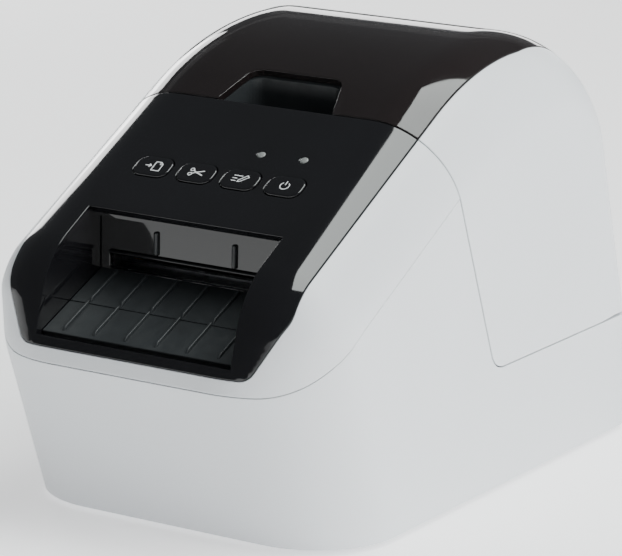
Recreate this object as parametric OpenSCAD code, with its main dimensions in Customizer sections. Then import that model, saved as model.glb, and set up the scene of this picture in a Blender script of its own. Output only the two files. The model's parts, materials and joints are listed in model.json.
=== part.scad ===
// Desktop label maker: a free-standing thermal label printer with a hinged roll cover.
// Millimetres, +Z up, the front faces -Y, origin on the standing surface under the middle.

/* [Casing] */
// Overall width across the side walls
casing_w = 125.3; // [118:0.1:160]
// Overall depth from the front edge to the rear wall
casing_d = 213; // [205:0.5:260]
// Overall height from the standing surface to the crown
casing_h = 144; // [138:0.5:180]
// Thickness of the moulded walls
wall = 2.4; // [1.8:0.1:3]
// Gap all round between the cover and the fixed casings
cover_gap = 0.4; // [0.3:0.05:0.6]
// How far the rubber feet stand below the base
foot_h = 1.5; // [1:0.1:2.5]
// Height of the seam between the base and the cover
cover_seam_z = 41; // [36:0.5:46]

/* [Front] */
// Slope of the button panel in degrees
panel_slope = 29.2; // [27:0.1:31]
// Height of the crown above the nose edge
nose_drop = 58.8; // [56:0.1:61]
// Distance of the nose edge behind the front edge
nose_back = 8.2; // [7:0.1:10]
// Distance of the front seam below the nose edge
front_seam_drop = 31; // [29:0.1:34]
// Forward lean of the lower front face in degrees
front_lean = 24.4; // [18:0.1:28]
// Half width of the black fascia and of the cover window
black_half_w = 51.5; // [48:0.5:53]

/* [Label path] */
// Widest label roll that fits
label_w = 62; // [50:1:64]
// Half width of the outlet recess
recess_half_w = 35.5; // [34:0.1:37]
// Height of the label exit slot
exit_slot_h = 5; // [4.5:0.1:7]
// Radius of the roll compartment
roll_r = 44; // [38:0.5:46]
// Radius of the rubber on the platen
platen_r = 6.3; // [5:0.1:7]
// Diameter of the platen shaft
platen_shaft_d = 6; // [5:0.1:7]

/* [Gears and cutter] */
// Tooth size of every gear
gear_mod = 0.8; // [0.6:0.05:0.9]
// Teeth on the platen gear
platen_teeth = 24; // [20:1:28]
// Teeth on the idler gear
idler_teeth = 30; // [26:1:34]
// Teeth on the feed motor pinion and on the cutter pinion
pinion_teeth = 12; // [11:1:14]
// Width of the gears
gear_w = 5; // [3:0.5:6]
// Travel of the moving blade
blade_travel = 4.5; // [3.5:0.1:5]

/* [Buttons] */
// Length of a button along X
button_w = 13; // [10:0.1:14]
// Length of a button up the slope
button_l = 8.9; // [7:0.1:11]
// Distance between the middles of two buttons
button_pitch = 16.15; // [15.5:0.05:18]
// Clearance round a button
button_gap = 0.25; // [0.2:0.05:0.4]
// Travel of a button
button_travel = 0.8; // [0.4:0.1:1]

/* [Hidden] */
$fn = 48;

WHITE = [0.83, 0.84, 0.85];
GLOSS_BLACK = [0.09, 0.09, 0.1];
SMOKE = [0.14, 0.12, 0.12];
DARK = [0.2, 0.22, 0.23];
STEEL = [0.72, 0.73, 0.75];
BRASS = [0.75, 0.62, 0.32];
RUBBER = [0.1, 0.1, 0.1];
BOARD = [0.1, 0.38, 0.22];
NYLON = [0.92, 0.91, 0.87];

half_w = casing_w / 2;
front_y = -casing_d / 2;
rear_y = casing_d / 2;
floor_z = foot_h + wall;
eps = 0.01;
// How far a post or web is rooted in the wall it grows from
root_in = 0.6;
running_fit = 0.03;
far = 400;

// ---- Side profile of the whole body, in (y, z) ----
nose = [front_y + nose_back, casing_h - nose_drop];
front_seam_z = nose[1] - front_seam_drop;
toe = [front_y + (front_seam_z - foot_h) * tan(front_lean), foot_h];
chin = [front_y, front_seam_z];
lip_z = front_seam_z + 4.9;
lip = [front_y + 0.6, lip_z];
nose_lean = 16.1;
nose_r = 28;
crown_rear_r = 50;
crown_end_angle = 15.5;
rear_lean = 21.4;
face_angle = 180 - nose_lean;
slope_angle = 90 + panel_slope;
nose_half = (face_angle - slope_angle) / 2;
nose_c = nose - nose_r / cos(nose_half) * dir2(slope_angle + nose_half);
crown = [rear_y - rear_lean - crown_rear_r * cos(crown_end_angle), casing_h];
crown_front_r = ((crown[0] - nose[0]) * tan(panel_slope) - nose_drop) / (1 / cos(panel_slope) - 1);
cover_foot = [rear_y - 1.7, cover_seam_z];
base_rear = [rear_y, 12];
base_rear_low = [rear_y - 0.3, foot_h];

// Radii of the rounded edges between the profile and the side walls
toe_edge_r = 29.3;
chin_edge_r = 34;
nose_edge_r = 24;
crown_edge_r = 27;
rear_edge_r = 12;
rear_low_edge_r = 8;

function dir2(a) = [cos(a), sin(a)];
function lerp(a, b, t) = a + (b - a) * t;
function unit2(v) = v / norm(v);
function sloped(p, along, depth) = p + along * dir2(panel_slope) - depth * dir2(slope_angle);
function on_panel(along) = sloped(nose, along, 0);

// A station is a profile point, its outward normal and its edge radius
function line_stations(a, b, na, nb, ra, rb, n) = [for (i = [0:n - 1])
    let (t = i / n) [lerp(a, b, t), unit2(lerp(na, nb, t)), lerp(ra, rb, t)]];
function arc_stations(c, r, a0, a1, ra, rb, n) = [for (i = [0:n - 1])
    let (t = i / n, u = dir2(lerp(a0, a1, t))) [c + r * u, u, lerp(ra, rb, t)]];

nose_start = nose_c + nose_r * dir2(face_angle);
slope_start = nose_c + nose_r * dir2(slope_angle);
crown_start = crown - [0, crown_front_r] + crown_front_r * dir2(slope_angle);
rear_start = crown - [0, crown_rear_r] + crown_rear_r * dir2(crown_end_angle);

// Stations round the profile of a body that is cut off flat at the height low
function stations(low) = let (
        front_cut = (low - foot_h) / (chin[1] - foot_h),
        rear_cut = (low - foot_h) / (base_rear[1] - foot_h),
        rear_end = lerp(base_rear_low, base_rear, rear_cut)) concat(
    line_stations(lerp(toe, chin, front_cut), chin, [-1, 0], [-1, 0],
        lerp(toe_edge_r, chin_edge_r, front_cut), chin_edge_r, 3),
    line_stations(chin, lip, [-1, 0], [-1, 0.08], chin_edge_r, chin_edge_r - 2, 1),
    line_stations(lip, nose_start, [-1, 0.08], dir2(face_angle), chin_edge_r - 2, nose_edge_r, 3),
    arc_stations(nose_c, nose_r, face_angle, slope_angle, nose_edge_r, nose_edge_r, 5),
    line_stations(slope_start, crown_start, dir2(slope_angle), dir2(slope_angle), nose_edge_r,
        crown_edge_r, 2),
    arc_stations(crown - [0, crown_front_r], crown_front_r, slope_angle, 90, crown_edge_r,
        crown_edge_r, 5),
    arc_stations(crown - [0, crown_rear_r], crown_rear_r, 90, crown_end_angle, crown_edge_r,
        rear_edge_r, 8),
    line_stations(rear_start, cover_foot, dir2(crown_end_angle), dir2(crown_end_angle), rear_edge_r,
        rear_edge_r - 2, 2),
    line_stations(cover_foot, base_rear, dir2(crown_end_angle), [1, 0], rear_edge_r - 2,
        rear_low_edge_r, 2),
    line_stations(base_rear, rear_end, [1, 0], [1, 0], rear_low_edge_r, rear_low_edge_r, 1),
    [[rear_end, [1, 0], rear_low_edge_r]]);
EDGE_STEPS = 5;

function half_row(s, inset, side) = [for (j = [0:EDGE_STEPS])
    let (a = side < 0 ? 90 - 90 * j / EDGE_STEPS : 90 * j / EDGE_STEPS,
        r = s[2] - inset,
        c = s[0] - s[1] * s[2])
    [side * (half_w - s[2] + r * sin(a)), c[0] + s[1][0] * r * cos(a), c[1] + s[1][1] * r * cos(a)]];

// The whole body as one solid, its surface moved inwards by the inset
module body_solid(inset = 0, low = foot_h) {
    ring = stations(low);
    count = len(ring);
    row = 2 * (EDGE_STEPS + 1);
    points = [for (s = ring) each concat(half_row(s, inset, -1), half_row(s, inset, 1))];
    skin = [for (i = [0:count - 1], j = [0:row - 2])
        let (a = i * row + j, b = ((i + 1) % count) * row + j)
        each [[a, b, b + 1], [a, b + 1, a + 1]]];
    left = [for (i = [count - 1:-1:0]) i * row];
    right = [for (i = [0:count - 1]) i * row + row - 1];
    polyhedron(points, concat(skin, [right, left]));
}

// ---- Seams, in (y, z) ----
seam_slope = 28.4;
seam_join = chin + [33.8, 17.7];
seam_start = chin + [2.5, 0];
cover_edge_lean = 0.42;
cover_edge_foot = 7.84;
cover_corner_r = 9;

function bezier(p, t) = pow(1 - t, 3) * p[0] + 3 * pow(1 - t, 2) * t * p[1]
    + 3 * (1 - t) * t * t * p[2] + pow(t, 3) * p[3];
function edge_y(z) = cover_edge_foot - (z - cover_seam_z) * cover_edge_lean;

// Where the front seam meets the cover's front edge
meet_y = (edge_y(seam_join[1]) + cover_edge_lean * tan(seam_slope) * seam_join[0])
    / (1 + cover_edge_lean * tan(seam_slope));
meet = [meet_y, seam_join[1] + (meet_y - seam_join[0]) * tan(seam_slope)];

FRONT_SEAM = concat([[-far, front_seam_z], [front_y, front_seam_z]],
    [for (i = [0:8]) bezier([seam_start, seam_start + [8, 0],
        seam_join - 13 * dir2(seam_slope), seam_join], i / 8)], [meet]);

// Rounds the corners of a polygon whose points are [x, y, radius]
function rounded(p, steps = 6) = [for (i = [0:len(p) - 1])
    let (o = [p[i][0], p[i][1]],
        a = p[(i + len(p) - 1) % len(p)],
        b = p[(i + 1) % len(p)],
        u = unit2([a[0], a[1]] - o),
        v = unit2([b[0], b[1]] - o),
        half = acos(u * v) / 2,
        c = o + unit2(u + v) * p[i][2] / sin(half),
        s = o + u * p[i][2] / tan(half) - c,
        e = o + v * p[i][2] / tan(half) - c,
        a0 = atan2(s[1], s[0]),
        turn = atan2(s[0] * e[1] - s[1] * e[0], s * e))
    each (p[i][2] == 0 ? [o] : [for (k = [0:steps]) c + p[i][2] * dir2(a0 + turn * k / steps)])];

module prism_x(points, half = far / 2) {
    translate([-half, 0, 0])
        rotate([90, 0, 90])
            linear_extrude(2 * half)
                polygon(points);
}

module prism_y(points) {
    translate([0, far / 2, 0])
        rotate([90, 0, 0])
            linear_extrude(far)
                polygon(points);
}

module base_zone() {
    prism_x(concat([[-far, -1]], FRONT_SEAM,
        [for (q = rounded([[meet[0], meet[1], 0], [edge_y(cover_seam_z), cover_seam_z, cover_corner_r],
            [far, cover_seam_z, 0]])) if (q[0] > meet[0] + eps) q],
        [[far, -1]]));
}

module front_zone() {
    prism_x(concat(FRONT_SEAM, [[edge_y(far / 2), far / 2], [-far, far / 2]]));
}

module cover_zone() {
    z0 = cover_seam_z + cover_gap;
    shift = cover_gap * 1.085;
    prism_x(rounded([[edge_y(far / 2) + shift, far / 2, 0],
        [edge_y(z0) + shift, z0, cover_corner_r - cover_gap], [far, z0, 0], [far, far / 2, 0]]));
}

module fascia_zone() {
    prism_y(rounded([[-41.2, lip_z, 5], [41.2, lip_z, 5], [black_half_w, lip_z + 18.4, 8],
        [black_half_w, far, 0], [-black_half_w, far, 0], [-black_half_w, lip_z + 18.4, 8]]));
}

window_low_z = casing_h - 48;
module window_zone() {
    prism_y(rounded([[-black_half_w, window_low_z, 12], [black_half_w, window_low_z, 12],
        [black_half_w, far, 0], [-black_half_w, far, 0]]));
}

module skin(depth = wall) {
    difference() {
        body_solid(0);
        body_solid(depth);
    }
}

module box(lo, hi) {
    translate(lo)
        cube(hi - lo);
}

module both_sides() {
    for (s = [-1, 1])
        scale([s, 1, 1])
            children();
}

module bar_x(y, z, r, x0, x1) {
    translate([x0, y, z])
        rotate([90, 0, 90])
            cylinder(r = r, h = x1 - x0);
}

module bar_z(x, y, r, z0, z1) {
    translate([x, y, z0])
        cylinder(r = r, h = z1 - z0);
}

// ---- Outlet recess, in (y, z) ----
tray_slope = 23.8;
tray_front = [front_y + 3.6, lip_z + 3.1];
tray_split_y = front_y + 19.5;
recess_rear_y = front_y + 36;
recess_wall = 2;
tray_t = 2.2;
rib_h = 1.2;
rib_w = 1;
rib_pitch = 11.3;
recess_top = on_panel(24.7);
function tray_z(y) = tray_front[1] + (y - tray_front[0]) * tan(tray_slope);
recess_roof_z = recess_top[1] - 3.8;
exit_z = tray_z(recess_rear_y);
path_z = exit_z + 2.2;

// ---- Mechanism positions, in (y, z) ----
platen = [front_y + 61.5, path_z - platen_r];
gear_x = 41;
plate_x = 37;
plate_t = 1.2;
plate_front_y = front_y + 49.5;
tub_c = [crown[0] + 1.1, 72];
tub_wall = 2;
tub_x = 36.5;
plate_rear_y = min(tub_c[0] - roll_r - tub_wall - 1, platen[0] + 36);
plate_top_z = path_z + 21.5;
idler = platen + (platen_teeth + idler_teeth) / 2 * gear_mod * dir2(-60);
motor_dir = -100;
motor = idler + (idler_teeth + pinion_teeth) / 2 * gear_mod * dir2(motor_dir);
head_pivot = platen + [27, 19];
shaft_r = platen_shaft_d / 2;
bush_r = shaft_r + 2;
pin_r = 2;
motor_r = 17.5;
motor_l = 22;
motor_shaft_r = 1.5;

// Cutter, in (x, y, z)
cut_frame_y = plate_front_y - 1.8;
blade_y = cut_frame_y - 1.3;
fixed_blade_y = blade_y - 1.2;
// The blade's lower edge ends below the label's path
blade_low_z = path_z - 2.7 + blade_travel;
blade_h = 11;
pinion_r = pinion_teeth * gear_mod / 2;
rack_x = -43;
cut_pinion = [rack_x - pinion_r, blade_low_z + 3.5];
cut_frame_half_w = 54;
cut_frame_low_z = path_z - 17;
cut_frame_top_z = blade_low_z + blade_h + 2.6;

// ---- Hinge of the cover ----
hinge = [rear_y - 3.9, cover_seam_z + 4.5];
knuckle_r = 2.6;
hinge_pin_r = 1.5;
lug_x = half_w - 17.65;
lug_half_w = 5;
knuckle_w = 3.7;
knuckle_gap = 0.3;

// ---- Screws, feet and boards ----
post_r = 4;
// Front posts stand this far ahead of the corner where the two seams meet
post_ahead = 7.86;
front_post = [half_w - wall - post_r - 0.4, meet[0] - post_ahead];
rear_post = [half_w - 10.65, rear_y - 21];
front_post_z = 60;
rear_post_z = 58;
screw_r = 1.5;
screw_head_r = 3;
screw_hole_r = 1.7;
foot_r = 6;
foot_t = foot_h + 1.5;
foot_spots = [for (x = [-1, 1], y = [front_y + 40, rear_y - 38]) [x * (half_w - 22), y]];
board_t = 1.6;
board_z = floor_z + 6;
standoff_r = 3;
main_board_lo = [-half_w + 7, rear_y - 96];
main_board_hi = [-6, rear_y - 26];
power_board_lo = [6, rear_y - 96];
power_board_hi = [half_w - 7, rear_y - 26];
function corners(lo, hi, inset) = [for (x = [lo[0] + inset, hi[0] - inset],
    y = [lo[1] + inset, hi[1] - inset]) [x, y]];
board_holes = concat(corners(main_board_lo, main_board_hi, 4), corners(power_board_lo, power_board_hi, 4));
inlet_c = [half_w - 26, 22];
inlet_size = [28, 16];
inlet_depth = 14;
usb_c = [-half_w + 30, 18];
usb_size = [12, 11];
usb_depth = 16;
socket_face_y = rear_y - 0.9;

module base_shell() {
    difference() {
        body_solid(0);
        body_solid(wall, floor_z);
    }
}

module socket_window(c, size) {
    box([c[0] - size[0] / 2 - eps, rear_y - 12, c[1] - size[1] / 2 - eps],
        [c[0] + size[0] / 2 + eps, rear_y + 5, c[1] + size[1] / 2 + eps]);
}

// A post with a web to the side wall
module screw_post(spot, top) {
    bar_z(spot[0], spot[1], post_r, floor_z - root_in, top);
    box([spot[0], spot[1] - 1, floor_z - root_in], [half_w - wall + root_in, spot[1] + 1, cover_seam_z - 4]);
}

module hinge_lug() {
    difference() {
        union() {
            bar_x(hinge[0], hinge[1], knuckle_r, lug_x - lug_half_w, lug_x + lug_half_w);
            box([lug_x - lug_half_w, hinge[0] - knuckle_r, cover_seam_z - 8],
                [lug_x + lug_half_w, hinge[0] + knuckle_r - 0.8, hinge[1]]);
        }
        bar_x(hinge[0], hinge[1], hinge_pin_r + eps, lug_x - far, lug_x + far);
    }
}

module base_casing() {
    color(WHITE)
        difference() {
            union() {
                intersection() {
                    base_shell();
                    base_zone();
                }
                both_sides() {
                    hinge_lug();
                    screw_post(front_post, front_post_z);
                    screw_post(rear_post, rear_post_z);
                }
                for (p = board_holes)
                    bar_z(p[0], p[1], standoff_r, floor_z - root_in, board_z);
            }
            both_sides()
                for (p = [front_post, rear_post]) {
                    bar_z(p[0], p[1], screw_hole_r, 0, casing_h);
                    bar_z(p[0], p[1], screw_head_r + 0.2, 0, foot_h + 1.6);
                }
            for (p = foot_spots)
                bar_z(p[0], p[1], foot_r + eps, 0, foot_t);
            for (p = board_holes)
                bar_z(p[0], p[1], 1.2, floor_z + 0.5, board_z + 1);
            socket_window(inlet_c, inlet_size);
            socket_window(usb_c, usb_size);
        }
}

module front_casing() {
    color(WHITE) {
        difference() {
            intersection() {
                skin();
                front_zone();
            }
            fascia_zone();
        }
        both_sides()
            intersection() {
                body_solid(wall - 0.4);
                difference() {
                    union() {
                        bar_z(front_post[0], front_post[1], post_r, front_post_z, meet[1] + 6);
                        // Web that ties the post to the side wall above the seam
                        box([front_post[0], front_post[1] - 1, meet[1]],
                            [half_w, front_post[1] + 1, meet[1] + 6]);
                    }
                    bar_z(front_post[0], front_post[1], screw_r - 0.2, front_post_z - 1, front_post_z + 14);
                }
            }
    }
}

// ---- Button panel: positions up the slope from the nose edge ----
button_along = 46;
led_along = [58.8, 59.1];
led_x = [8.3, 23.7];
led_r = 1.4;
button_x = [for (i = [0:3]) (i - 1.5) * button_pitch];
cap_proud = 0.5;
flange_top = wall + 0.3;
flange_t = 1;
flange_side = 1.2;
stem_end = flange_top + flange_t + 0.6;
switch_h = 3.4;
switch_clearance = 0.3;
panel_board_depth = stem_end + button_travel + switch_clearance + switch_h;

// Puts children on the sloping panel: local X across, local Y up the slope, local Z outwards
module on_slope(x, along) {
    p = on_panel(along);
    translate([x, p[0], p[1]])
        rotate([panel_slope, 0, 0])
            children();
}

// A plate with round ends, its corners true arcs
module stadium(w, l, r) {
    square([w - 2 * r, l], center = true);
    square([w, l - 2 * r], center = true);
    for (x = [-1, 1], y = [-1, 1])
        translate([x * (w / 2 - r), y * (l / 2 - r)])
            circle(r = r);
}

module button_shape(grow, z0, z1) {
    translate([0, 0, z0])
        linear_extrude(z1 - z0)
            stadium(button_w + 2 * grow, button_l + 2 * grow, 3.6 + grow);
}

recess_outline = [[-far, tray_front[1]], [tray_front[0], tray_front[1]],
    [recess_rear_y, exit_z], [recess_rear_y, recess_roof_z],
    sloped(recess_top, 0, wall + 0.5), sloped(recess_top, 0, -10), [-far, casing_h]];
recess_cheek = [[front_y, tray_front[1] - tray_t], [tray_front[0], tray_front[1] - tray_t],
    [recess_rear_y + recess_wall, exit_z - tray_t], [recess_rear_y + recess_wall, casing_h],
    [front_y, casing_h]];

module front_fascia() {
    color(GLOSS_BLACK)
        difference() {
            union() {
                intersection() {
                    skin();
                    front_zone();
                    fascia_zone();
                }
                intersection() {
                    body_solid(wall - 0.4);
                    both_sides()
                        translate([recess_half_w + recess_wall / 2, 0, 0])
                            prism_x(recess_cheek, recess_wall / 2);
                }
            }
            prism_x(recess_outline, recess_half_w);
            for (x = button_x)
                on_slope(x, button_along)
                    button_shape(button_gap, -10, 5);
            for (i = [0, 1])
                on_slope(led_x[i], led_along[i])
                    cylinder(r = led_r + eps, h = 20, center = true);
        }
}

module ribs(y0, y1) {
    for (i = [-2.5:1:2.5])
        translate([i * rib_pitch, 0, 0])
            prism_x([[y0, tray_z(y0) - 1], [y1, tray_z(y1) - 1], [y1, tray_z(y1) + rib_h],
                [y0 + rib_h, tray_z(y0 + rib_h) + rib_h]], rib_w / 2);
}

module label_tray() {
    y0 = front_y + wall + 2.5;
    y1 = tray_split_y - 0.1;
    color(DARK) {
        prism_x([[y0, tray_z(y0) - tray_t], [y1, tray_z(y1) - tray_t], [y1, tray_z(y1)], [y0, tray_z(y0)]],
            recess_half_w - 0.1);
        ribs(y0 + 1, y1);
    }
}

slot_half_w = label_w / 2 + 1;
module outlet_ramp() {
    y0 = tray_split_y + 0.1;
    y1 = recess_rear_y;
    color(DARK) {
        prism_x([[y0, tray_z(y0) - tray_t], [y1, exit_z - tray_t], [y1, exit_z], [y0, tray_z(y0)]],
            recess_half_w - 0.1);
        ribs(y0, y1 - 1.5);
        difference() {
            box([-recess_half_w + 0.1, y1, exit_z - tray_t],
                [recess_half_w - 0.1, y1 + recess_wall, recess_roof_z + 1]);
            box([-slot_half_w, y1 - 1, exit_z + 0.3], [slot_half_w, y1 + 4, exit_z + 0.3 + exit_slot_h]);
        }
        box([-slot_half_w, y1 + recess_wall - eps, exit_z - 1],
            [slot_half_w, fixed_blade_y - 1.4, exit_z + 0.3]);
        both_sides()
            box([13.9, y1 - 1, exit_z + exit_slot_h + 1.2], [14.9, y1 + eps, recess_roof_z - 3]);
    }
}

module outlet_guide_bar() {
    z = exit_z + 0.3 + exit_slot_h;
    color(GLOSS_BLACK)
        box([-slot_half_w, recess_rear_y - 1.4, z], [slot_half_w, recess_rear_y, z + 0.8]);
}

module light_pipe(i) {
    on_slope(led_x[i], led_along[i])
        translate([0, 0, -panel_board_depth + 1.6])
            cylinder(r = led_r, h = panel_board_depth - 1.6 + 0.15);
}

module status_lens() {
    color([0.85, 0.9, 0.88])
        light_pipe(0);
}

module editor_lens() {
    color([0.85, 0.9, 0.88])
        light_pipe(1);
}

module panel_board() {
    color(BOARD)
        difference() {
            on_slope(0, button_along + 4)
                translate([-34, -12, -panel_board_depth - board_t])
                    cube([68, 28, board_t]);
            for (x = [-31, 31])
                on_slope(x, button_along + 12)
                    cylinder(r = 1.6, h = 60, center = true);
        }
}

module panel_switches() {
    color([0.3, 0.3, 0.32])
        for (x = button_x)
            on_slope(x, button_along)
                translate([0, 0, -panel_board_depth]) {
                    translate([-3, -3, 0])
                        cube([6, 6, switch_h - 0.8]);
                    cylinder(r = 1.6, h = switch_h);
                }
}

module panel_leds() {
    color(NYLON)
        for (i = [0, 1])
            on_slope(led_x[i], led_along[i])
                translate([-1.6, -1, -panel_board_depth])
                    cube([3.2, 2, 1.4]);
}

module rubber_feet() {
    color(RUBBER)
        for (p = foot_spots)
            bar_z(p[0], p[1], foot_r, 0, foot_t);
}

// ---- Roll compartment ----
tub_top_z = path_z + 11;
tub_front_z = path_z - 3.4;
module tub_outline(r) {
    translate(tub_c)
        circle(r = r, $fn = 96);
    translate([tub_c[0] - r, tub_c[1]])
        square([2 * r, far]);
}

module roll_compartment() {
    color(DARK)
        difference() {
            translate([-tub_x - tub_wall, 0, 0])
                rotate([90, 0, 90])
                    linear_extrude(2 * (tub_x + tub_wall))
                        tub_outline(roll_r + tub_wall);
            translate([-tub_x, 0, 0])
                rotate([90, 0, 90])
                    linear_extrude(2 * tub_x)
                        tub_outline(roll_r);
            box([-far, -far, tub_top_z], [far, far, 2 * far]);
            box([-tub_x, -far, tub_front_z], [tub_x, tub_c[0] - roll_r + 2, 2 * far]);
        }
    // Ears that the rear casing screws hold
    color(DARK)
        both_sides()
            difference() {
                box([tub_x + tub_wall - eps, rear_post[1] - 12, rear_post_z],
                    [rear_post[0] + post_r, rear_post[1] + post_r, rear_post_z + 2]);
                bar_z(rear_post[0], rear_post[1], screw_r - 0.2, 0, far);
            }
}

module spool_guide(side) {
    spool_r = 6;
    color(DARK)
        scale([side, 1, 1])
            difference() {
                box([tub_x - 2, tub_c[0] - 12, tub_c[1] - 14], [tub_x, tub_c[0] + 12, tub_top_z]);
                bar_x(tub_c[0], tub_c[1], spool_r, 0, far);
                box([0, tub_c[0] - spool_r, tub_c[1]], [far, tub_c[0] + spool_r, far]);
            }
}

// ---- Chassis ----
module side_plate(side) {
    outline = [[plate_front_y, floor_z], [plate_rear_y, floor_z], [plate_rear_y, head_pivot[1] + 6],
        [platen[0] + 8, plate_top_z], [plate_front_y, plate_top_z]];
    color(STEEL)
        difference() {
            scale([side, 1, 1])
                translate([plate_x + plate_t / 2, 0, 0])
                    prism_x(outline, plate_t / 2);
            bar_x(platen[0], platen[1], bush_r + eps, -far, far);
            bar_x(head_pivot[0], head_pivot[1], pin_r + eps, -far, far);
            if (side > 0) {
                bar_x(idler[0], idler[1], pin_r + eps, -far, far);
                bar_x(motor[0], motor[1], 5 + eps, -far, far);
            }
        }
}

module platen_bearings() {
    color(BRASS)
        both_sides()
            difference() {
                union() {
                    bar_x(platen[0], platen[1], bush_r, plate_x - 1, plate_x + plate_t + 1);
                    bar_x(platen[0], platen[1], bush_r + 1, plate_x - 2, plate_x - eps);
                }
                bar_x(platen[0], platen[1], shaft_r + running_fit, 0, far);
            }
}

module inlet_guide() {
    y0 = platen[0] + platen_r + 2;
    y1 = tub_c[0] - roll_r + 1;
    color(DARK) {
        box([-slot_half_w, y0, path_z - 2.2], [slot_half_w, y1, path_z - 0.6]);
        both_sides()
            box([slot_half_w, y0 + 2, path_z - 2.2], [plate_x, y0 + 12, path_z + 1.4]);
    }
}

module head_pivot_pin() {
    color(STEEL)
        bar_x(head_pivot[0], head_pivot[1], pin_r, -plate_x - plate_t - 0.6, plate_x + plate_t + 0.6);
}

beam_y = [platen[0] - 2, platen[0] + 5];
module spring_beam() {
    color(STEEL)
        box([-plate_x, beam_y[0], plate_top_z - 2], [plate_x, beam_y[1], plate_top_z - 0.5]);
}

bracket_top_z = path_z + 10.5;
spring_x = 22;
module head_springs() {
    color(STEEL)
        for (x = [-spring_x, spring_x])
            difference() {
                bar_z(x, (beam_y[0] + beam_y[1]) / 2, 3, bracket_top_z + 0.05, plate_top_z - 2);
                bar_z(x, (beam_y[0] + beam_y[1]) / 2, 2.2, 0, far);
            }
}

// ---- Cutter ----
rail_t = 1.2;
module cutter_frame() {
    front = fixed_blade_y;
    color(STEEL)
        difference() {
            union() {
                box([-cut_frame_half_w, cut_frame_y, cut_frame_low_z],
                    [cut_frame_half_w - 10, plate_front_y, cut_frame_top_z]);
                box([-33, front, cut_frame_low_z], [33, cut_frame_y + eps, path_z - 5.5]);
                // Rails that keep the moving blade against the frame
                box([36, front - rail_t, path_z - 5], [38, cut_frame_y + eps, cut_frame_top_z]);
                box([33.4, front - rail_t, path_z - 5], [36.1, front, cut_frame_top_z]);
                box([-36, front - rail_t, path_z - 10], [-33.4, front, cut_frame_top_z]);
                box([-36, front - eps, cut_frame_top_z - 2], [-33.4, cut_frame_y + eps, cut_frame_top_z]);
                box([-36, front - eps, path_z - 10], [-33.4, cut_frame_y + eps, path_z - 5]);
            }
            box([-slot_half_w - 1, cut_frame_y - 1, path_z - 2.3], [slot_half_w + 1, far, path_z + 3.2]);
            translate([cut_pinion[0], 0, cut_pinion[1]])
                rotate([90, 0, 0])
                    cylinder(r = motor_shaft_r + 0.3, h = far, center = true);
        }
}

module fixed_blade() {
    z0 = path_z - 13;
    color(STEEL)
        prism_x([[fixed_blade_y - 1, z0], [fixed_blade_y, z0], [fixed_blade_y, path_z - 0.5],
            [fixed_blade_y - 1, path_z - 1.1]], 33);
}

module gear_outline(teeth) {
    r = teeth * gear_mod / 2;
    pitch = 360 / teeth;
    polygon([for (i = [0:teeth - 1],
            k = [[-0.27, -1.2], [-0.1, 0.8], [0.1, 0.8], [0.27, -1.2]])
        (r + k[1] * gear_mod) * dir2(pitch * (i + k[0]))]);
}

// A gear on a shaft along X with one tooth pointing along the given direction
module gear_x(teeth, phase, bore) {
    translate([gear_x, 0, 0])
        rotate([90, 0, 90])
            difference() {
                rotate(phase)
                    linear_extrude(gear_w)
                        gear_outline(teeth);
                translate([0, 0, -1])
                    cylinder(r = bore, h = gear_w + 2);
            }
}

// Directions of one tooth on each gear, so that every mesh is tooth to gap
platen_phase = -60;
idler_pitch = 360 / idler_teeth;
idler_phase = 120 + idler_pitch / 2;
idler_off = (idler_phase - motor_dir) - idler_pitch * round((idler_phase - motor_dir) / idler_pitch);
motor_phase = motor_dir + 180 - idler_off * idler_teeth / pinion_teeth + 180 / pinion_teeth;

module rack_teeth(z_lo, z_hi) {
    pitch = PI * gear_mod;
    n_lo = ceil((z_lo - cut_pinion[1]) / pitch - 0.5);
    n_hi = floor((z_hi - cut_pinion[1]) / pitch - 0.5);
    translate([0, blade_y + 1.2, 0])
        rotate([90, 0, 0])
            linear_extrude(2)
                for (n = [n_lo:n_hi])
                    translate([rack_x, cut_pinion[1] + (n + 0.5) * pitch])
                        polygon([for (k = [[1.5, -0.3], [-0.7, -0.11], [-0.7, 0.11], [1.5, 0.3]])
                            [k[0] * gear_mod, k[1] * pitch]]);
}

module moving_blade() {
    z1 = blade_low_z + blade_h;
    color(STEEL) {
        prism_x([[blade_y, blade_low_z + 0.6], [blade_y + 1, blade_low_z],
            [blade_y + 1, z1], [blade_y, z1]], 33);
        box([32.9, blade_y, blade_low_z + 1], [35.7, blade_y + 1, z1]);
        box([rack_x + 1.1 * gear_mod, blade_y, blade_low_z + 1], [-32.9, blade_y + 1, z1]);
        box([rack_x + 1.1 * gear_mod, blade_y - 0.8, blade_low_z + 1],
            [-36.5, blade_y + 1.2 - eps, z1]);
        rack_teeth(blade_low_z + 1, z1 - 0.5);
    }
}

module cutter_pinion() {
    color(BRASS)
        translate([cut_pinion[0], blade_y + 1, cut_pinion[1]])
            rotate([90, 0, 0])
                linear_extrude(1.8)
                    gear_outline(pinion_teeth);
    color(BRASS)
        translate([cut_pinion[0], blade_y + 12, cut_pinion[1]])
            rotate([90, 0, 0])
                cylinder(r = motor_shaft_r, h = 13);
}

module cutter_motor() {
    color(STEEL)
        translate([cut_pinion[0], plate_front_y + 25, cut_pinion[1]])
            rotate([90, 0, 0])
                difference() {
                    cylinder(r = 6, h = 25);
                    translate([0, 0, 13])
                        cylinder(r = motor_shaft_r + 0.05, h = 20);
                }
}

module feed_motor() {
    color(STEEL)
        difference() {
            union() {
                bar_x(motor[0], motor[1], motor_r, plate_x - motor_l, plate_x);
                bar_x(motor[0], motor[1], 5, plate_x - eps, plate_x + plate_t);
            }
            bar_x(motor[0], motor[1], motor_shaft_r + 0.05, plate_x - 10, far);
        }
}

module idler_shaft() {
    color(STEEL)
        bar_x(idler[0], idler[1], pin_r, plate_x, gear_x + gear_w + 1);
}

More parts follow.
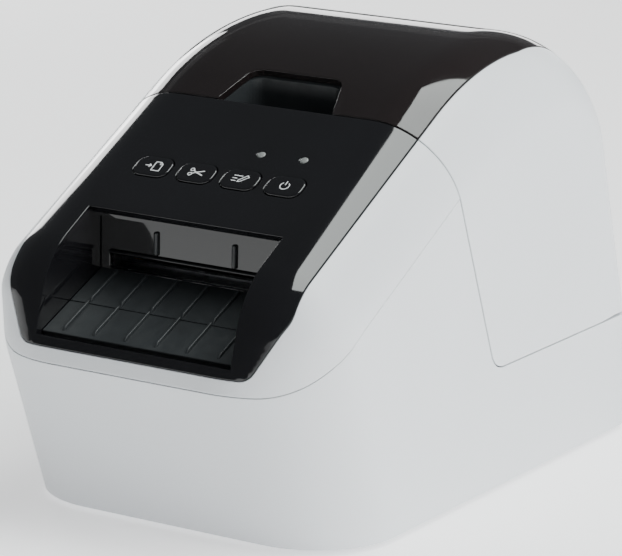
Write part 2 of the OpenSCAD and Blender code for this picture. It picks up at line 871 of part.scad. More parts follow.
module idler_gear() {
    color(NYLON)
        translate([0, idler[0], idler[1]])
            gear_x(idler_teeth, idler_phase, pin_r + running_fit);
}

module motor_pinion() {
    color(BRASS) {
        translate([0, motor[0], motor[1]])
            gear_x(pinion_teeth, motor_phase, motor_shaft_r);
        bar_x(motor[0], motor[1], motor_shaft_r, plate_x - 9.5, gear_x + gear_w);
    }
}

module platen_gear() {
    color(NYLON)
        translate([0, platen[0], platen[1]])
            gear_x(platen_teeth, platen_phase, shaft_r);
}

module platen_shaft() {
    color(STEEL)
        bar_x(platen[0], platen[1], shaft_r, -plate_x - plate_t - 2, gear_x + gear_w + 2);
}

module platen_rubber() {
    color(RUBBER)
        difference() {
            bar_x(platen[0], platen[1], platen_r, -label_w / 2 - 1.5, label_w / 2 + 1.5);
            bar_x(platen[0], platen[1], shaft_r, -far, far);
        }
}

// ---- Print head, hung from its pivot behind the platen ----
head_y = [platen[0] - 6.5, platen[0] + 6.5];
ear_x = 31;
module head_bracket() {
    color(STEEL)
        difference() {
            union() {
                box([-33, head_y[0], bracket_top_z - 1.2], [33, head_pivot[0] - 4, bracket_top_z]);
                both_sides()
                    box([ear_x, head_pivot[0] - 12, head_pivot[1] - 4.5],
                        [ear_x + 2, head_pivot[0] + 4, head_pivot[1] + 4]);
                both_sides()
                    box([ear_x, head_pivot[0] - 12, bracket_top_z - 1.2],
                        [ear_x + 2, head_pivot[0] - 5, head_pivot[1]]);
            }
            bar_x(head_pivot[0], head_pivot[1], pin_r + running_fit, -far, far);
        }
}

module print_head() {
    color(STEEL)
        difference() {
            box([-33, head_y[0], path_z + 0.3], [33, head_y[1], bracket_top_z - 1.2]);
            for (i = [0:2])
                box([-far, head_y[0] + 2.4 + 3.4 * i, path_z + 4],
                    [far, head_y[0] + 4 + 3.4 * i, path_z + 8]);
        }
}

// ---- Electronics ----
module populated_board(lo, hi, parts) {
    color(BOARD)
        difference() {
            box([lo[0], lo[1], board_z], [hi[0], hi[1], board_z + board_t]);
            for (p = corners(lo, hi, 4))
                bar_z(p[0], p[1], screw_r + 0.1, 0, far);
        }
    color([0.12, 0.12, 0.14])
        for (p = parts)
            translate([lo[0] + p[0], lo[1] + p[1], board_z + board_t - eps])
                cube([p[2], p[3], p[4]]);
}

module main_board() {
    populated_board(main_board_lo, main_board_hi,
        [[14, 40, 12, 12, 1.6], [30, 44, 8, 10, 1.2], [12, 12, 18, 5, 7], [34, 12, 8, 5, 7],
            [10, 58, 10, 6, 3]]);
}

module power_board() {
    populated_board(power_board_lo, power_board_hi,
        [[12, 12, 22, 18, 10], [12, 38, 14, 14, 9], [32, 40, 8, 18, 10], [38, 14, 6, 12, 8]]);
}

module socket_body(c, size, depth, hole, pin) {
    difference() {
        box([c[0] - size[0] / 2, socket_face_y - depth, c[1] - size[1] / 2],
            [c[0] + size[0] / 2, socket_face_y, c[1] + size[1] / 2]);
        box([c[0] - hole[0] / 2, socket_face_y - hole[2], c[1] - hole[1] / 2],
            [c[0] + hole[0] / 2, socket_face_y + 1, c[1] + hole[1] / 2]);
    }
    for (x = pin)
        translate([c[0] + x, socket_face_y - hole[2] - eps, c[1]])
            rotate([-90, 0, 0])
                cylinder(r = 1.2, h = hole[2] - 2);
}

module power_inlet() {
    color(GLOSS_BLACK)
        socket_body(inlet_c, inlet_size, inlet_depth, [20, 10, 11], [-4.3, 4.3]);
}

module usb_socket() {
    color(STEEL)
        socket_body(usb_c, usb_size, usb_depth, [9, 8, 12], []);
}

module label_sensor() {
    y0 = platen[0] + platen_r + 8;
    color(GLOSS_BLACK)
        box([-6, y0, path_z - 6.2], [4, y0 + 7, path_z - 2.2]);
}

module casing_screws() {
    color(STEEL)
        both_sides()
            for (p = [front_post, rear_post]) {
                bar_z(p[0], p[1], screw_head_r, foot_h + 0.2, foot_h + 1.6);
                bar_z(p[0], p[1], screw_r - 0.2, foot_h + 1.5,
                    p == front_post ? front_post_z + 12 : rear_post_z + 3);
            }
}

module board_screws() {
    color(STEEL)
        for (p = board_holes) {
            bar_z(p[0], p[1], 2.6, board_z + board_t, board_z + board_t + 1.8);
            bar_z(p[0], p[1], 1.2, floor_z + 1, board_z + board_t + 1);
        }
}

module hinge_pins() {
    color(STEEL)
        both_sides()
            bar_x(hinge[0], hinge[1], hinge_pin_r, lug_x - lug_half_w - knuckle_gap - knuckle_w,
                lug_x + lug_half_w + knuckle_gap + knuckle_w);
}

// ---- Cover ----
edge_swing_r = hinge[1] - cover_seam_z - cover_gap + 0.1;
module cover_knuckles() {
    both_sides()
        for (x = [lug_x - lug_half_w - knuckle_gap - knuckle_w, lug_x + lug_half_w + knuckle_gap]) {
            bar_x(hinge[0], hinge[1], knuckle_r, x, x + knuckle_w);
            box([x, hinge[0] - knuckle_r, hinge[1]], [x + knuckle_w, hinge[0] - 0.6, hinge[1] + 5]);
        }
}

module cover_shell() {
    notch_lo = [lug_x - lug_half_w - knuckle_gap, hinge[0] - 8, 0];
    notch_hi = [lug_x + lug_half_w + knuckle_gap, far, hinge[1] + knuckle_r + 1.4];
    color(WHITE)
        difference() {
            union() {
                intersection() {
                    skin();
                    cover_zone();
                }
                cover_knuckles();
            }
            window_zone();
            both_sides()
                box(notch_lo, notch_hi);
            // The lower rear edge is an arc about the hinge, so that it clears the base as it swings
            difference() {
                box([-far, hinge[0] - 4, 0], [far, far, hinge[1] - 2]);
                bar_x(hinge[0], hinge[1], edge_swing_r, -far, far);
            }
            bar_x(hinge[0], hinge[1], hinge_pin_r + running_fit, -far, far);
        }
}

// Finger notch in the front edge of the cover, in (x, y)
notch_front_w = 22;
notch_rear_w = 16.5;
notch_rear_y = edge_y(casing_h) + 23;
function notch_outline(grow) = rounded([[-notch_front_w - grow - 4, -far / 4, 0],
    [notch_front_w + grow + 4, -far / 4, 0], [notch_front_w + grow, edge_y(casing_h) + 6, 0],
    [notch_rear_w + grow, notch_rear_y + grow, 5 + grow],
    [-notch_rear_w - grow, notch_rear_y + grow, 5 + grow],
    [-notch_front_w - grow, edge_y(casing_h) + 6, 0]]);

module notch(grow, z0) {
    translate([0, 0, z0])
        linear_extrude(far)
            polygon(notch_outline(grow));
}

module cover_window() {
    color(SMOKE)
        difference() {
            intersection() {
                skin();
                cover_zone();
                window_zone();
            }
            notch(0, 0);
        }
}

pocket_wall = 1.6;
pocket_floor_z = casing_h - 28;
module cover_frame() {
    color(DARK) {
        difference() {
            intersection() {
                body_solid(wall);
                cover_zone();
                notch(pocket_wall, pocket_floor_z - pocket_wall);
            }
            difference() {
                notch(0, pocket_floor_z);
                // Grip bar along the front edge
                prism_x([[edge_y(casing_h), 0], [edge_y(pocket_floor_z) + 2, 0],
                    [edge_y(pocket_floor_z) + 2, pocket_floor_z + 5],
                        [edge_y(casing_h), pocket_floor_z + 5]]);
            }
        }
        // Latch hooks that snap inside the base walls
        both_sides()
            difference() {
                box([half_w - wall - 2.6, cover_edge_foot + 12, cover_seam_z - 6],
                    [half_w - wall - 0.6, cover_edge_foot + 18, cover_seam_z + 14]);
                box([half_w - wall - 1.2, 0, cover_seam_z - 7], [far, far, cover_seam_z + 3]);
            }
    }
}

// ---- Buttons ----
module button(i) {
    on_slope(button_x[i], button_along) {
        button_shape(0, -flange_top - flange_t, cap_proud);
        button_shape(flange_side, -flange_top - flange_t, -flange_top);
        translate([0, 0, -stem_end])
            cylinder(r = 2, h = stem_end - flange_top);
    }
}

module feed_button() {
    color(GLOSS_BLACK)
        button(0);
}

module cut_button() {
    color(GLOSS_BLACK)
        button(1);
}

module editor_button() {
    color(GLOSS_BLACK)
        button(2);
}

module power_button() {
    color(GLOSS_BLACK)
        button(3);
}

base_casing();
front_casing();
front_fascia();
label_tray();
outlet_ramp();
outlet_guide_bar();
status_lens();
editor_lens();
panel_board();
panel_switches();
panel_leds();
rubber_feet();
roll_compartment();
spool_guide(-1);  // spool_guide_left
spool_guide(1);  // spool_guide_right
side_plate(-1);  // side_plate_left
side_plate(1);  // side_plate_right
platen_bearings();
inlet_guide();
head_pivot_pin();
spring_beam();
head_springs();
cutter_frame();
fixed_blade();
cutter_motor();
feed_motor();
idler_shaft();
main_board();
power_board();
power_inlet();
usb_socket();
label_sensor();
casing_screws();
board_screws();
hinge_pins();
cover_shell();
cover_window();
cover_frame();
head_bracket();
print_head();
feed_button();
cut_button();
editor_button();
power_button();
platen_shaft();
platen_rubber();
platen_gear();
idler_gear();
motor_pinion();
moving_blade();
cutter_pinion();
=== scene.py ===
"""A desktop label maker: shells, window, outlet, keys, mechanism finishes and a small studio."""

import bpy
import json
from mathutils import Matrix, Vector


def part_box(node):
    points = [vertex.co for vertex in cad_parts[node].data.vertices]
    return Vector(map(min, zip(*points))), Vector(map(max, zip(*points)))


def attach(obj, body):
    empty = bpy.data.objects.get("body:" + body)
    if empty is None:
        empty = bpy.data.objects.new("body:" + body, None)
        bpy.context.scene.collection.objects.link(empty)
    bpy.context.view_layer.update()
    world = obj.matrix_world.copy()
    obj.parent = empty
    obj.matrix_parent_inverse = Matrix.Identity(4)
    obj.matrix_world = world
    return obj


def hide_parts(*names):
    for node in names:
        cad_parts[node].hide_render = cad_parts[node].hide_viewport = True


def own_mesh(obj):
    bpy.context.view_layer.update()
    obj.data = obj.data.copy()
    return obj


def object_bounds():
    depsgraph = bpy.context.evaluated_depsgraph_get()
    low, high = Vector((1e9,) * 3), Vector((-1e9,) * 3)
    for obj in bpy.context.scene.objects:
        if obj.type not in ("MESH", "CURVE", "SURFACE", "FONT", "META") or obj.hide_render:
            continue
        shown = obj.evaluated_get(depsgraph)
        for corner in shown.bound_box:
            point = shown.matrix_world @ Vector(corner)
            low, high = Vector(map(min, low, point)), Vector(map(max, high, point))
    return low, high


bl_info = {
    "name": "Desktop Label Maker",
    "version": (1, 0, 0),
    "blender": (4, 5, 0),
    "location": "3D View > Sidebar > Label Maker",
    "description": "Builds the visible pieces and finishes of a desktop label maker round its frame",
    "category": "Add Mesh",
}

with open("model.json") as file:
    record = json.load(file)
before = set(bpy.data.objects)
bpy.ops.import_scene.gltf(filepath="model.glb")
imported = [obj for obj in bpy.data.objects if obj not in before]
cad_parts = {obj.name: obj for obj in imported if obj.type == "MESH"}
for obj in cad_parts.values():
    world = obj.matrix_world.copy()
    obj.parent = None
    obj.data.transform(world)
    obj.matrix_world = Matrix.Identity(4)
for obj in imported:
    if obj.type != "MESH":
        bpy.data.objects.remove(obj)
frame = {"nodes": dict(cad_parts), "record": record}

import json
import math

import bmesh
import bpy
import numpy as np
from bpy.props import FloatProperty, FloatVectorProperty, IntProperty, PointerProperty
from mathutils import Matrix, Vector
from mathutils.geometry import delaunay_2d_cdt

MM = 0.001
CAD_BOX = [list(corner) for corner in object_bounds()]
LOW = np.array(CAD_BOX[0]) / MM
HIGH = np.array(CAD_BOX[1]) / MM

# ---- Driving sizes of the body, in millimetres ----
HALF_W = (HIGH[0] - LOW[0]) / 2
FRONT_Y = LOW[1]
REAR_Y = HIGH[1]
CROWN_Z = HIGH[2]
FOOT_H = 1.5
PANEL_SLOPE = 29.2
NOSE = np.array([FRONT_Y + 8.2, CROWN_Z - 58.8])
NOSE_LEAN = 16.1
NOSE_R = 28
FRONT_LEAN = 24.4
FRONT_SEAM_Z = NOSE[1] - 31
LIP_Z = FRONT_SEAM_Z + 4.9
CROWN_REAR_R = 50
CROWN_END = 15.5
REAR_LEAN = 21.4
SEAM_Z = 41
COVER_GAP = 0.4
BLACK_HALF_W = 51.5
RECESS_HALF_W = 35.5
WINDOW_LOW_Z = CROWN_Z - 48


def heading(degrees):
    angle = math.radians(degrees)
    return np.array([math.cos(angle), math.sin(angle)])


def unit(v):
    return v / np.linalg.norm(v)


def mix(a, b, t):
    return a + (b - a) * t


# ---- Side profile: every station has a point, an outward normal and an edge radius ----
def line_part(a, b, normal_a, normal_b, radius_a, radius_b, steps=24):
    rows = []
    for i in range(steps):
        t = i / steps
        normal = unit(mix(np.array(normal_a, float), np.array(normal_b, float), t))
        rows.append([*mix(np.array(a, float), np.array(b, float), t), *normal, mix(radius_a, radius_b, t)])
    return rows


def arc_part(centre, radius, start, end, radius_a, radius_b, steps=48):
    rows = []
    for i in range(steps):
        t = i / steps
        normal = heading(mix(start, end, t))
        rows.append([*(centre + radius * normal), *normal, mix(radius_a, radius_b, t)])
    return rows


def profile_rows():
    slope = 90 + PANEL_SLOPE
    face = 180 - NOSE_LEAN
    toe = (FRONT_Y + (FRONT_SEAM_Z - FOOT_H) * math.tan(math.radians(FRONT_LEAN)), FOOT_H)
    chin = (FRONT_Y, FRONT_SEAM_Z)
    lip = (FRONT_Y + 0.6, LIP_Z)
    half = (face - slope) / 2
    nose_c = NOSE - NOSE_R / math.cos(math.radians(half)) * heading(slope + half)
    crown = np.array([REAR_Y - REAR_LEAN - CROWN_REAR_R * math.cos(math.radians(CROWN_END)), CROWN_Z])
    rise = 1 / math.cos(math.radians(PANEL_SLOPE)) - 1
    crown_r = ((crown[0] - NOSE[0]) * math.tan(math.radians(PANEL_SLOPE)) - (CROWN_Z - NOSE[1])) / rise
    front_c = crown - (0, crown_r)
    rear_c = crown - (0, CROWN_REAR_R)
    slope_start = nose_c + NOSE_R * heading(slope)
    crown_start = front_c + crown_r * heading(slope)
    rear_start = rear_c + CROWN_REAR_R * heading(CROWN_END)
    foot = (REAR_Y - 1.7, SEAM_Z)
    rear = (REAR_Y, 12)
    rear_low = (REAR_Y - 0.3, FOOT_H)
    up = heading(slope)
    back = heading(CROWN_END)
    return np.array(
        line_part(toe, chin, (-1, 0), (-1, 0), 29.3, 34)
        + line_part(chin, lip, (-1, 0), (-1, 0.08), 34, 32)
        + line_part(lip, nose_c + NOSE_R * heading(face), (-1, 0.08), heading(face), 32, 24)
        + arc_part(nose_c, NOSE_R, face, slope, 24, 24)
        + line_part(slope_start, crown_start, up, up, 24, 27)
        + arc_part(front_c, crown_r, slope, 90, 27, 27)
        + arc_part(rear_c, CROWN_REAR_R, 90, CROWN_END, 27, 12)
        + line_part(rear_start, foot, back, back, 12, 10)
        + line_part(foot, rear, back, (1, 0), 10, 8)
        + line_part(rear, rear_low, (1, 0), (1, 0), 8, 8)
        + [[*rear_low, 1, 0, 8]])


ROWS = profile_rows()
ALONG = np.concatenate([[0], np.cumsum(np.hypot(*np.diff(ROWS[:, :2], axis=0).T))])
END = ALONG[-1]
# Lengths given across the surface to its flat middle and to each rounded edge
FLAT = 36
EDGE = 40
WALL_LINE = FLAT + EDGE
# The wrap-round panels join their flat side walls a little below the rounded edge
JOINT_LINE = WALL_LINE + 3


def station(along):
    """Point, normal and edge radius of the profile at each length along it."""
    cols = [np.interp(along, ALONG, ROWS[:, k]) for k in range(5)]
    scale = np.hypot(cols[2], cols[3])
    return cols[0], cols[1], cols[2] / scale, cols[3] / scale, cols[4]


def body_point(p, depth=0):
    """The surface point at (across, along), moved in by the depth."""
    p = np.atleast_2d(p)
    side = np.sign(p[:, 0])
    across = np.abs(p[:, 0])
    y, z, ny, nz, radius = station(p[:, 1])
    turn = np.clip((across - FLAT) / EDGE, 0, 1) * math.pi / 2
    flat_x = np.minimum(across / FLAT, 1) * (HALF_W - radius)
    down = np.maximum(across - WALL_LINE, 0)
    arm = (radius - depth) * np.cos(turn) - radius - down
    x = side * (flat_x + (radius - depth) * np.sin(turn))
    return np.column_stack([x, y + ny * arm, z + nz * arm])


def across_at(x, along):
    """Across coordinate of the surface point with the given x."""
    radius = station(along)[4]
    x = np.asarray(x, float)
    over = np.clip((np.abs(x) - (HALF_W - radius)) / radius, 0, 1)
    flat = np.minimum(np.abs(x) / (HALF_W - radius), 1) * FLAT
    return np.sign(x) * (flat + np.arcsin(over) / (math.pi / 2) * EDGE)


def solve(values, point_of, test, low, high):
    """Bisects along the profile until test(point) changes sign, for each value."""
    values = np.asarray(values, float)
    low = np.full(len(values), float(low))
    high = np.full(len(values), float(high))
    rising = test(point_of(values, high)) > 0
    for _ in range(44):
        middle = (low + high) / 2
        upper = (test(point_of(values, middle)) > 0) == rising
        high = np.where(upper, middle, high)
        low = np.where(upper, low, middle)
    return (low + high) / 2


def by_across(across, test, low=0, high=END):
    along = solve(across, lambda a, s: body_point(np.column_stack([a, s])), test, low, high)
    return np.column_stack([across, along])


def by_x(x, test, low=0, high=END):
    def point_of(v, s):
        return body_point(np.column_stack([across_at(v, s), s]))
    along = solve(x, point_of, test, low, high)
    return np.column_stack([across_at(x, along), along])


FINE = np.linspace(0, END, 6000)
FINE_ROWS = station(FINE)


def chart_of(yz):
    """(across, along) of the points on the rounded edge with the given (y, z)."""
    y0, z0, ny, nz, radius = FINE_ROWS
    out = []
    for y, z in np.atleast_2d(yz):
        dy, dz = y - y0, z - z0
        skew = dy * nz - dz * ny
        above = dy * ny + dz * nz
        turns = np.flatnonzero(skew[:-1] * skew[1:] <= 0)
        turns = turns[(above[turns] < 1) & (above[turns] > -60)]
        k = turns[np.argmax(above[turns])]
        t = skew[k] / (skew[k] - skew[k + 1]) if skew[k] != skew[k + 1] else 0
        arm = mix(above[k] + radius[k], above[k + 1] + radius[k + 1], t)
        r = mix(radius[k], radius[k + 1], t)
        along = mix(FINE[k], FINE[k + 1], t)
        if arm >= 0:
            out.append((FLAT + math.acos(min(1, arm / r)) / (math.pi / 2) * EDGE, along))
        else:
            out.append((WALL_LINE - arm, along))
    return np.array(out)


CHIN_ALONG = ALONG[np.argmin(ROWS[:, 0])]
CROWN_ALONG = ALONG[np.argmax(ROWS[:, 1])]


def along_where(y=None, z=None):
    """Length along the middle of the front or top of the body where y or z has a value."""
    column, value, low = (1, y, CHIN_ALONG) if z is None else (2, z, 0)
    return by_across([0.0], lambda p: p[:, column] - value, low, CROWN_ALONG)[0, 1]

# ---- Seams, in (y, z) ----
SEAM_SLOPE = 28.4
SEAM_START = np.array([FRONT_Y + 2.5, FRONT_SEAM_Z])
SEAM_JOIN = np.array([FRONT_Y + 33.8, FRONT_SEAM_Z + 17.7])
EDGE_LEAN = 0.42
EDGE_FOOT = 7.84
CORNER_R = 9


def seam_curve():
    a = SEAM_START
    b = SEAM_START + (8, 0)
    c = SEAM_JOIN - 13 * heading(SEAM_SLOPE)
    d = SEAM_JOIN
    ts = np.linspace(0, 1, 40)[:, None]
    return (1 - ts) ** 3 * a + 3 * (1 - ts) ** 2 * ts * b + 3 * (1 - ts) * ts ** 2 * c + ts ** 3 * d


SEAM = seam_curve()


def seam_z(y):
    """Height of the front seam at each y."""
    line = SEAM_JOIN[1] + (y - SEAM_JOIN[0]) * math.tan(math.radians(SEAM_SLOPE))
    curve = np.interp(y, SEAM[:, 0], SEAM[:, 1])
    return np.where(y > SEAM_JOIN[0], line, curve)


def edge_y(z, shift=0):
    """The cover's front edge, shifted back by a gap."""
    return EDGE_FOOT - (z - SEAM_Z) * EDGE_LEAN + shift


def edge_test(shift):
    return lambda p: p[:, 1] - edge_y(p[:, 2], shift)


def rounded(points, steps=8):
    """A polygon of (x, y, radius) with its corners rounded."""
    out = []
    count = len(points)
    for i, (px, py, r) in enumerate(points):
        o = np.array([px, py], float)
        if r == 0:
            out.append(o)
            continue
        u = unit(np.array(points[i - 1][:2], float) - o)
        v = unit(np.array(points[(i + 1) % count][:2], float) - o)
        half = math.acos(float(np.clip(u @ v, -1, 1))) / 2
        c = o + unit(u + v) * r / math.sin(half)
        s = o + u * r / math.tan(half) - c
        e = o + v * r / math.tan(half) - c
        a0 = math.atan2(s[1], s[0])
        turn = math.atan2(s[0] * e[1] - s[1] * e[0], s @ e)
        out += [c + r * np.array([math.cos(a0 + turn * k / steps), math.sin(a0 + turn * k / steps)])
                for k in range(steps + 1)]
    return np.array(out)


def rectangle(w, l, r, centre=(0, 0), steps=8):
    x, y = centre
    return rounded([(x - w / 2, y - l / 2, r), (x + w / 2, y - l / 2, r),
                    (x + w / 2, y + l / 2, r), (x - w / 2, y + l / 2, r)], steps)


def ring(r, centre=(0, 0), count=40):
    angles = np.linspace(0, 2 * math.pi, count, endpoint=False)
    return np.column_stack([centre[0] + r * np.cos(angles), centre[1] + r * np.sin(angles)])


def resample(points, step, closed=False):
    """Adds points so that no edge is longer than the step."""
    points = np.asarray(points, float)
    last = len(points) if closed else len(points) - 1
    out = []
    for i in range(last):
        a, b = points[i], points[(i + 1) % len(points)]
        parts = max(1, int(math.ceil(np.linalg.norm(b - a) / step)))
        out += [mix(a, b, k / parts) for k in range(parts)]
    if not closed:
        out.append(points[-1])
    return np.array(out)


# ---- Panels: sheets with rolled edges, made chart by chart ----
def area(points):
    x, y = points[:, 0], points[:, 1]
    return float(np.sum(x * np.roll(y, -1) - y * np.roll(x, -1))) / 2


def make_loop(points, joint=None, hole=False):
    """An outline, with the edges that join another chart marked. Material lies to its left."""
    points = np.asarray(points, float)
    joint = np.zeros(len(points), bool) if joint is None else np.asarray(joint, bool)
    if (area(points) < 0) != hole:
        points = points[::-1]
        joint = np.roll(joint[::-1], -1)
    return points, ~joint


def miters(points, rim):
    """For each corner, the move that takes both its rims one unit in."""
    ahead = np.roll(points, -1, axis=0) - points
    ahead /= np.linalg.norm(ahead, axis=1)[:, None]
    behind = np.roll(ahead, 1, axis=0)
    left = np.column_stack([-ahead[:, 1], ahead[:, 0]])
    left_behind = np.roll(left, 1, axis=0)
    rim_behind = np.roll(rim, 1)
    moves = np.zeros_like(points)
    for i in range(len(points)):
        if rim[i] and rim_behind[i]:
            moves[i] = (left[i] + left_behind[i]) / max(0.3, 1 + left[i] @ left_behind[i])
        elif rim_behind[i]:
            moves[i] = ahead[i] / max(0.4, ahead[i] @ left_behind[i])
        elif rim[i]:
            moves[i] = -behind[i] / max(0.4, -behind[i] @ left[i])
    return moves


def inside(points, loops):
    found = np.zeros(len(points), bool)
    for loop in loops:
        a, b = loop, np.roll(loop, -1, axis=0)
        for (ax, ay), (bx, by) in zip(a, b):
            if ay == by:
                continue
            crosses = (ay > points[:, 1]) != (by > points[:, 1])
            at = ax + (points[:, 1] - ay) * (bx - ax) / (by - ay)
            found ^= crosses & (points[:, 0] < at)
    return found


def clear_of(points, loops, distance):
    """Points further than the distance from every outline."""
    keep = np.ones(len(points), bool)
    for loop in loops:
        for a, b in zip(loop, np.roll(loop, -1, axis=0)):
            d = b - a
            near = np.flatnonzero(keep & (np.abs(points[:, 0] - (a[0] + b[0]) / 2) < distance + abs(d[0]))
                                  & (np.abs(points[:, 1] - (a[1] + b[1]) / 2) < distance + abs(d[1])))
            if len(near):
                q = points[near]
                t = np.clip(((q - a) @ d) / max(d @ d, 1e-12), 0, 1)
                keep[near[np.hypot(*(q - a - t[:, None] * d).T) < distance]] = False
    return points[keep]


def enclosed(points, faces, edges, loops):
    """The triangles between the outlines. Each region the outlines part is judged by its largest triangle."""
    walls = {frozenset(e) for e in edges}
    sides = {}
    for i, f in enumerate(faces.tolist()):
        for pair in ((f[0], f[1]), (f[1], f[2]), (f[2], f[0])):
            sides.setdefault(frozenset(pair), []).append(i)
    linked = [[] for _ in faces]
    for pair, found in sides.items():
        if len(found) == 2 and pair not in walls:
            linked[found[0]].append(found[1])
            linked[found[1]].append(found[0])
    corners = points[faces]
    a, b = corners[:, 1] - corners[:, 0], corners[:, 2] - corners[:, 0]
    areas = np.abs(a[:, 0] * b[:, 1] - a[:, 1] * b[:, 0])
    within = inside(corners.mean(1), loops)
    keep = np.zeros(len(faces), bool)
    seen = np.zeros(len(faces), bool)
    for first in range(len(faces)):
        if seen[first]:
            continue
        seen[first] = True
        region = [first]
        for i in region:
            for j in linked[i]:
                if not seen[j]:
                    seen[j] = True
                    region.append(j)
        largest = region[int(np.argmax(areas[region]))]
        keep[region] = within[largest] and areas[largest] > 1e-4
    return keep


def fill(loops, step):
    """Triangles over the outlines, with a grid of points between them."""
    edges = []
    start = 0
    for loop in loops:
        edges += [(start + i, start + (i + 1) % len(loop)) for i in range(len(loop))]
        start += len(loop)
    points = np.vstack(loops)
    low, high = points.min(0), points.max(0)
    steps = np.broadcast_to(np.asarray(step, float), 2)
    gx = np.arange(low[0] + steps[0] / 2, high[0], steps[0])
    gy = np.arange(low[1] + steps[1] / 2, high[1], steps[1])
    grid = np.stack(np.meshgrid(gx, gy), -1).reshape(-1, 2)
    if len(grid):
        grid = grid[inside(grid, loops)]
        grid = clear_of(grid, loops, min(steps) * 0.45)
        points = np.vstack([points, grid])
    verts, _, faces, origin, _, _ = delaunay_2d_cdt([Vector(p) for p in points], edges, [], 0, 1e-6)
    if len(verts) != len(points):
        raise RuntimeError("an outline crosses itself: %d points became %d" % (len(points), len(verts)))
    index = [o[0] for o in origin]
    faces = np.array([[index[v] for v in f] for f in faces])
    return points, faces[enclosed(points, faces, edges, loops)]


def panel(place, loops, thickness, roll=0.3, inner=0.25, step=2.0, flip=False):
    """A closed sheet: place(points, depth) puts flat points on the surface, moved in by the depth."""
    turn = [math.radians(a) for a in (0, 30, 60, 90)]
    rings = [(roll * (1 - math.sin(a)), roll * (1 - math.cos(a))) for a in turn]
    rings += [(0, thickness - inner), (inner * 0.3, thickness - inner * 0.3), (inner, thickness)]
    moves = [miters(p, rim) for p, rim in loops]
    outer = [p + m * roll for (p, _), m in zip(loops, moves)]
    flat, triangles = fill(outer, step)
    count = sum(len(p) for p, _ in loops)
    verts = [place(flat, 0)]
    faces = [tuple(f) for f in triangles]
    total = len(flat)
    starts = [0]
    for offset, depth in rings[1:-1]:
        starts.append(total)
        verts.append(place(np.vstack([p + m * offset for (p, _), m in zip(loops, moves)]), depth))
        total += count
    starts.append(total)
    low_flat = flat.copy()
    low_flat[:count] = np.vstack([p + m * inner for (p, _), m in zip(loops, moves)])
    verts.append(place(low_flat, thickness))
    faces += [tuple(v + total for v in f[::-1]) for f in triangles]
    first = 0
    for points, rim in loops:
        n = len(points)
        for i in np.flatnonzero(rim):
            a, b = first + i, first + (i + 1) % n
            for upper, lower in zip(starts, starts[1:]):
                faces.append((upper + b, upper + a, lower + a, lower + b))
        first += n
    if flip:
        faces = [f[::-1] for f in faces]
    return np.vstack(verts), faces


def flat_place(origin, across, up):
    """Puts flat points on a plane; depth goes against the plane's normal."""
    origin, across, up = (np.array(v, float) for v in (origin, across, up))
    normal = np.cross(across, up)

    def place(points, depth=0):
        p = np.atleast_2d(points)
        return origin + p[:, :1] * across + p[:, 1:] * up - depth * normal
    return place


def plate(outlines, thickness, origin, across, up, roll=0.2, inner=None, step=6.0):
    """A flat plate with rolled edges. The first outline is its edge and the others are holes."""
    loops = [make_loop(p, hole=i > 0) for i, p in enumerate(outlines)]
    inner = roll if inner is None else inner
    return panel(flat_place(origin, across, up), loops, thickness, roll, inner, step)


X_AXIS, Y_AXIS, Z_AXIS = np.eye(3)


def block(low, high, roll=0.2, holes=()):
    """A box with rolled top and bottom edges and small corner radii."""
    low, high = np.array(low, float), np.array(high, float)
    size = high - low
    r = max(min(roll * 1.5, size[0] / 2.2, size[1] / 2.2), 0.02)
    outline = rectangle(size[0], size[1], r, (low[:2] + high[:2]) / 2, 3)
    roll = min(roll, r * 0.9, size[2] / 2.2)
    return plate([outline, *holes], size[2], (0, 0, high[2]), X_AXIS, Y_AXIS, roll)


def turned(profile, origin, axis, count=40):
    """A solid of revolution: profile is (radius, height) from one end of its axis to the other."""
    axis = unit(np.array(axis, float))
    helper = X_AXIS if abs(axis[0]) < 0.9 else Y_AXIS
    u = unit(np.cross(axis, helper))
    v = np.cross(axis, u)
    closed = profile[0] == profile[-1]
    rows = profile[:-1] if closed else profile
    angles = np.linspace(0, 2 * math.pi, count, endpoint=False)
    spokes = np.cos(angles)[:, None] * u + np.sin(angles)[:, None] * v
    verts, faces = [], []
    for r, h in rows:
        verts.append(np.array(origin) + r * spokes + h * axis)
    n = len(rows)
    for k in range(n if closed else n - 1):
        a, b = k * count, ((k + 1) % n) * count
        for i in range(count):
            j = (i + 1) % count
            faces.append((a + i, a + j, b + j, b + i))
    verts = np.vstack(verts)
    if not closed:
        faces.append(tuple(range(count))[::-1])
        faces.append(tuple((n - 1) * count + i for i in range(count)))
    return verts, faces


def tube(origin, axis, outer, bore, low, high, roll=0.2, count=40):
    """A ring or, with no bore, a rod with rolled ends."""
    edge = [(outer - roll, low), (outer - roll * 0.3, low + roll * 0.3), (outer, low + roll),
            (outer, high - roll), (outer - roll * 0.3, high - roll * 0.3), (outer - roll, high)]
    if bore:
        edge += [(bore, high), (bore, low), edge[0]]
    return turned(edge, origin, axis, count)


def moved(shape, matrix):
    verts, faces = shape
    turned_verts = verts @ np.array(matrix.to_3x3()).T + np.array(matrix.translation)
    if matrix.determinant() < 0:
        faces = [f[::-1] for f in faces]
    return turned_verts, faces


def mirrored(shape):
    return moved(shape, Matrix.Scale(-1, 4, (1, 0, 0)))


def both_sides(shape):
    return [shape, mirrored(shape)]


# ---- Objects ----
def soften(obj):
    """Keeps broad faces flat where they meet a rolled edge."""
    weighted = obj.modifiers.new("Weighted Normal", "WEIGHTED_NORMAL")
    weighted.keep_sharp = True


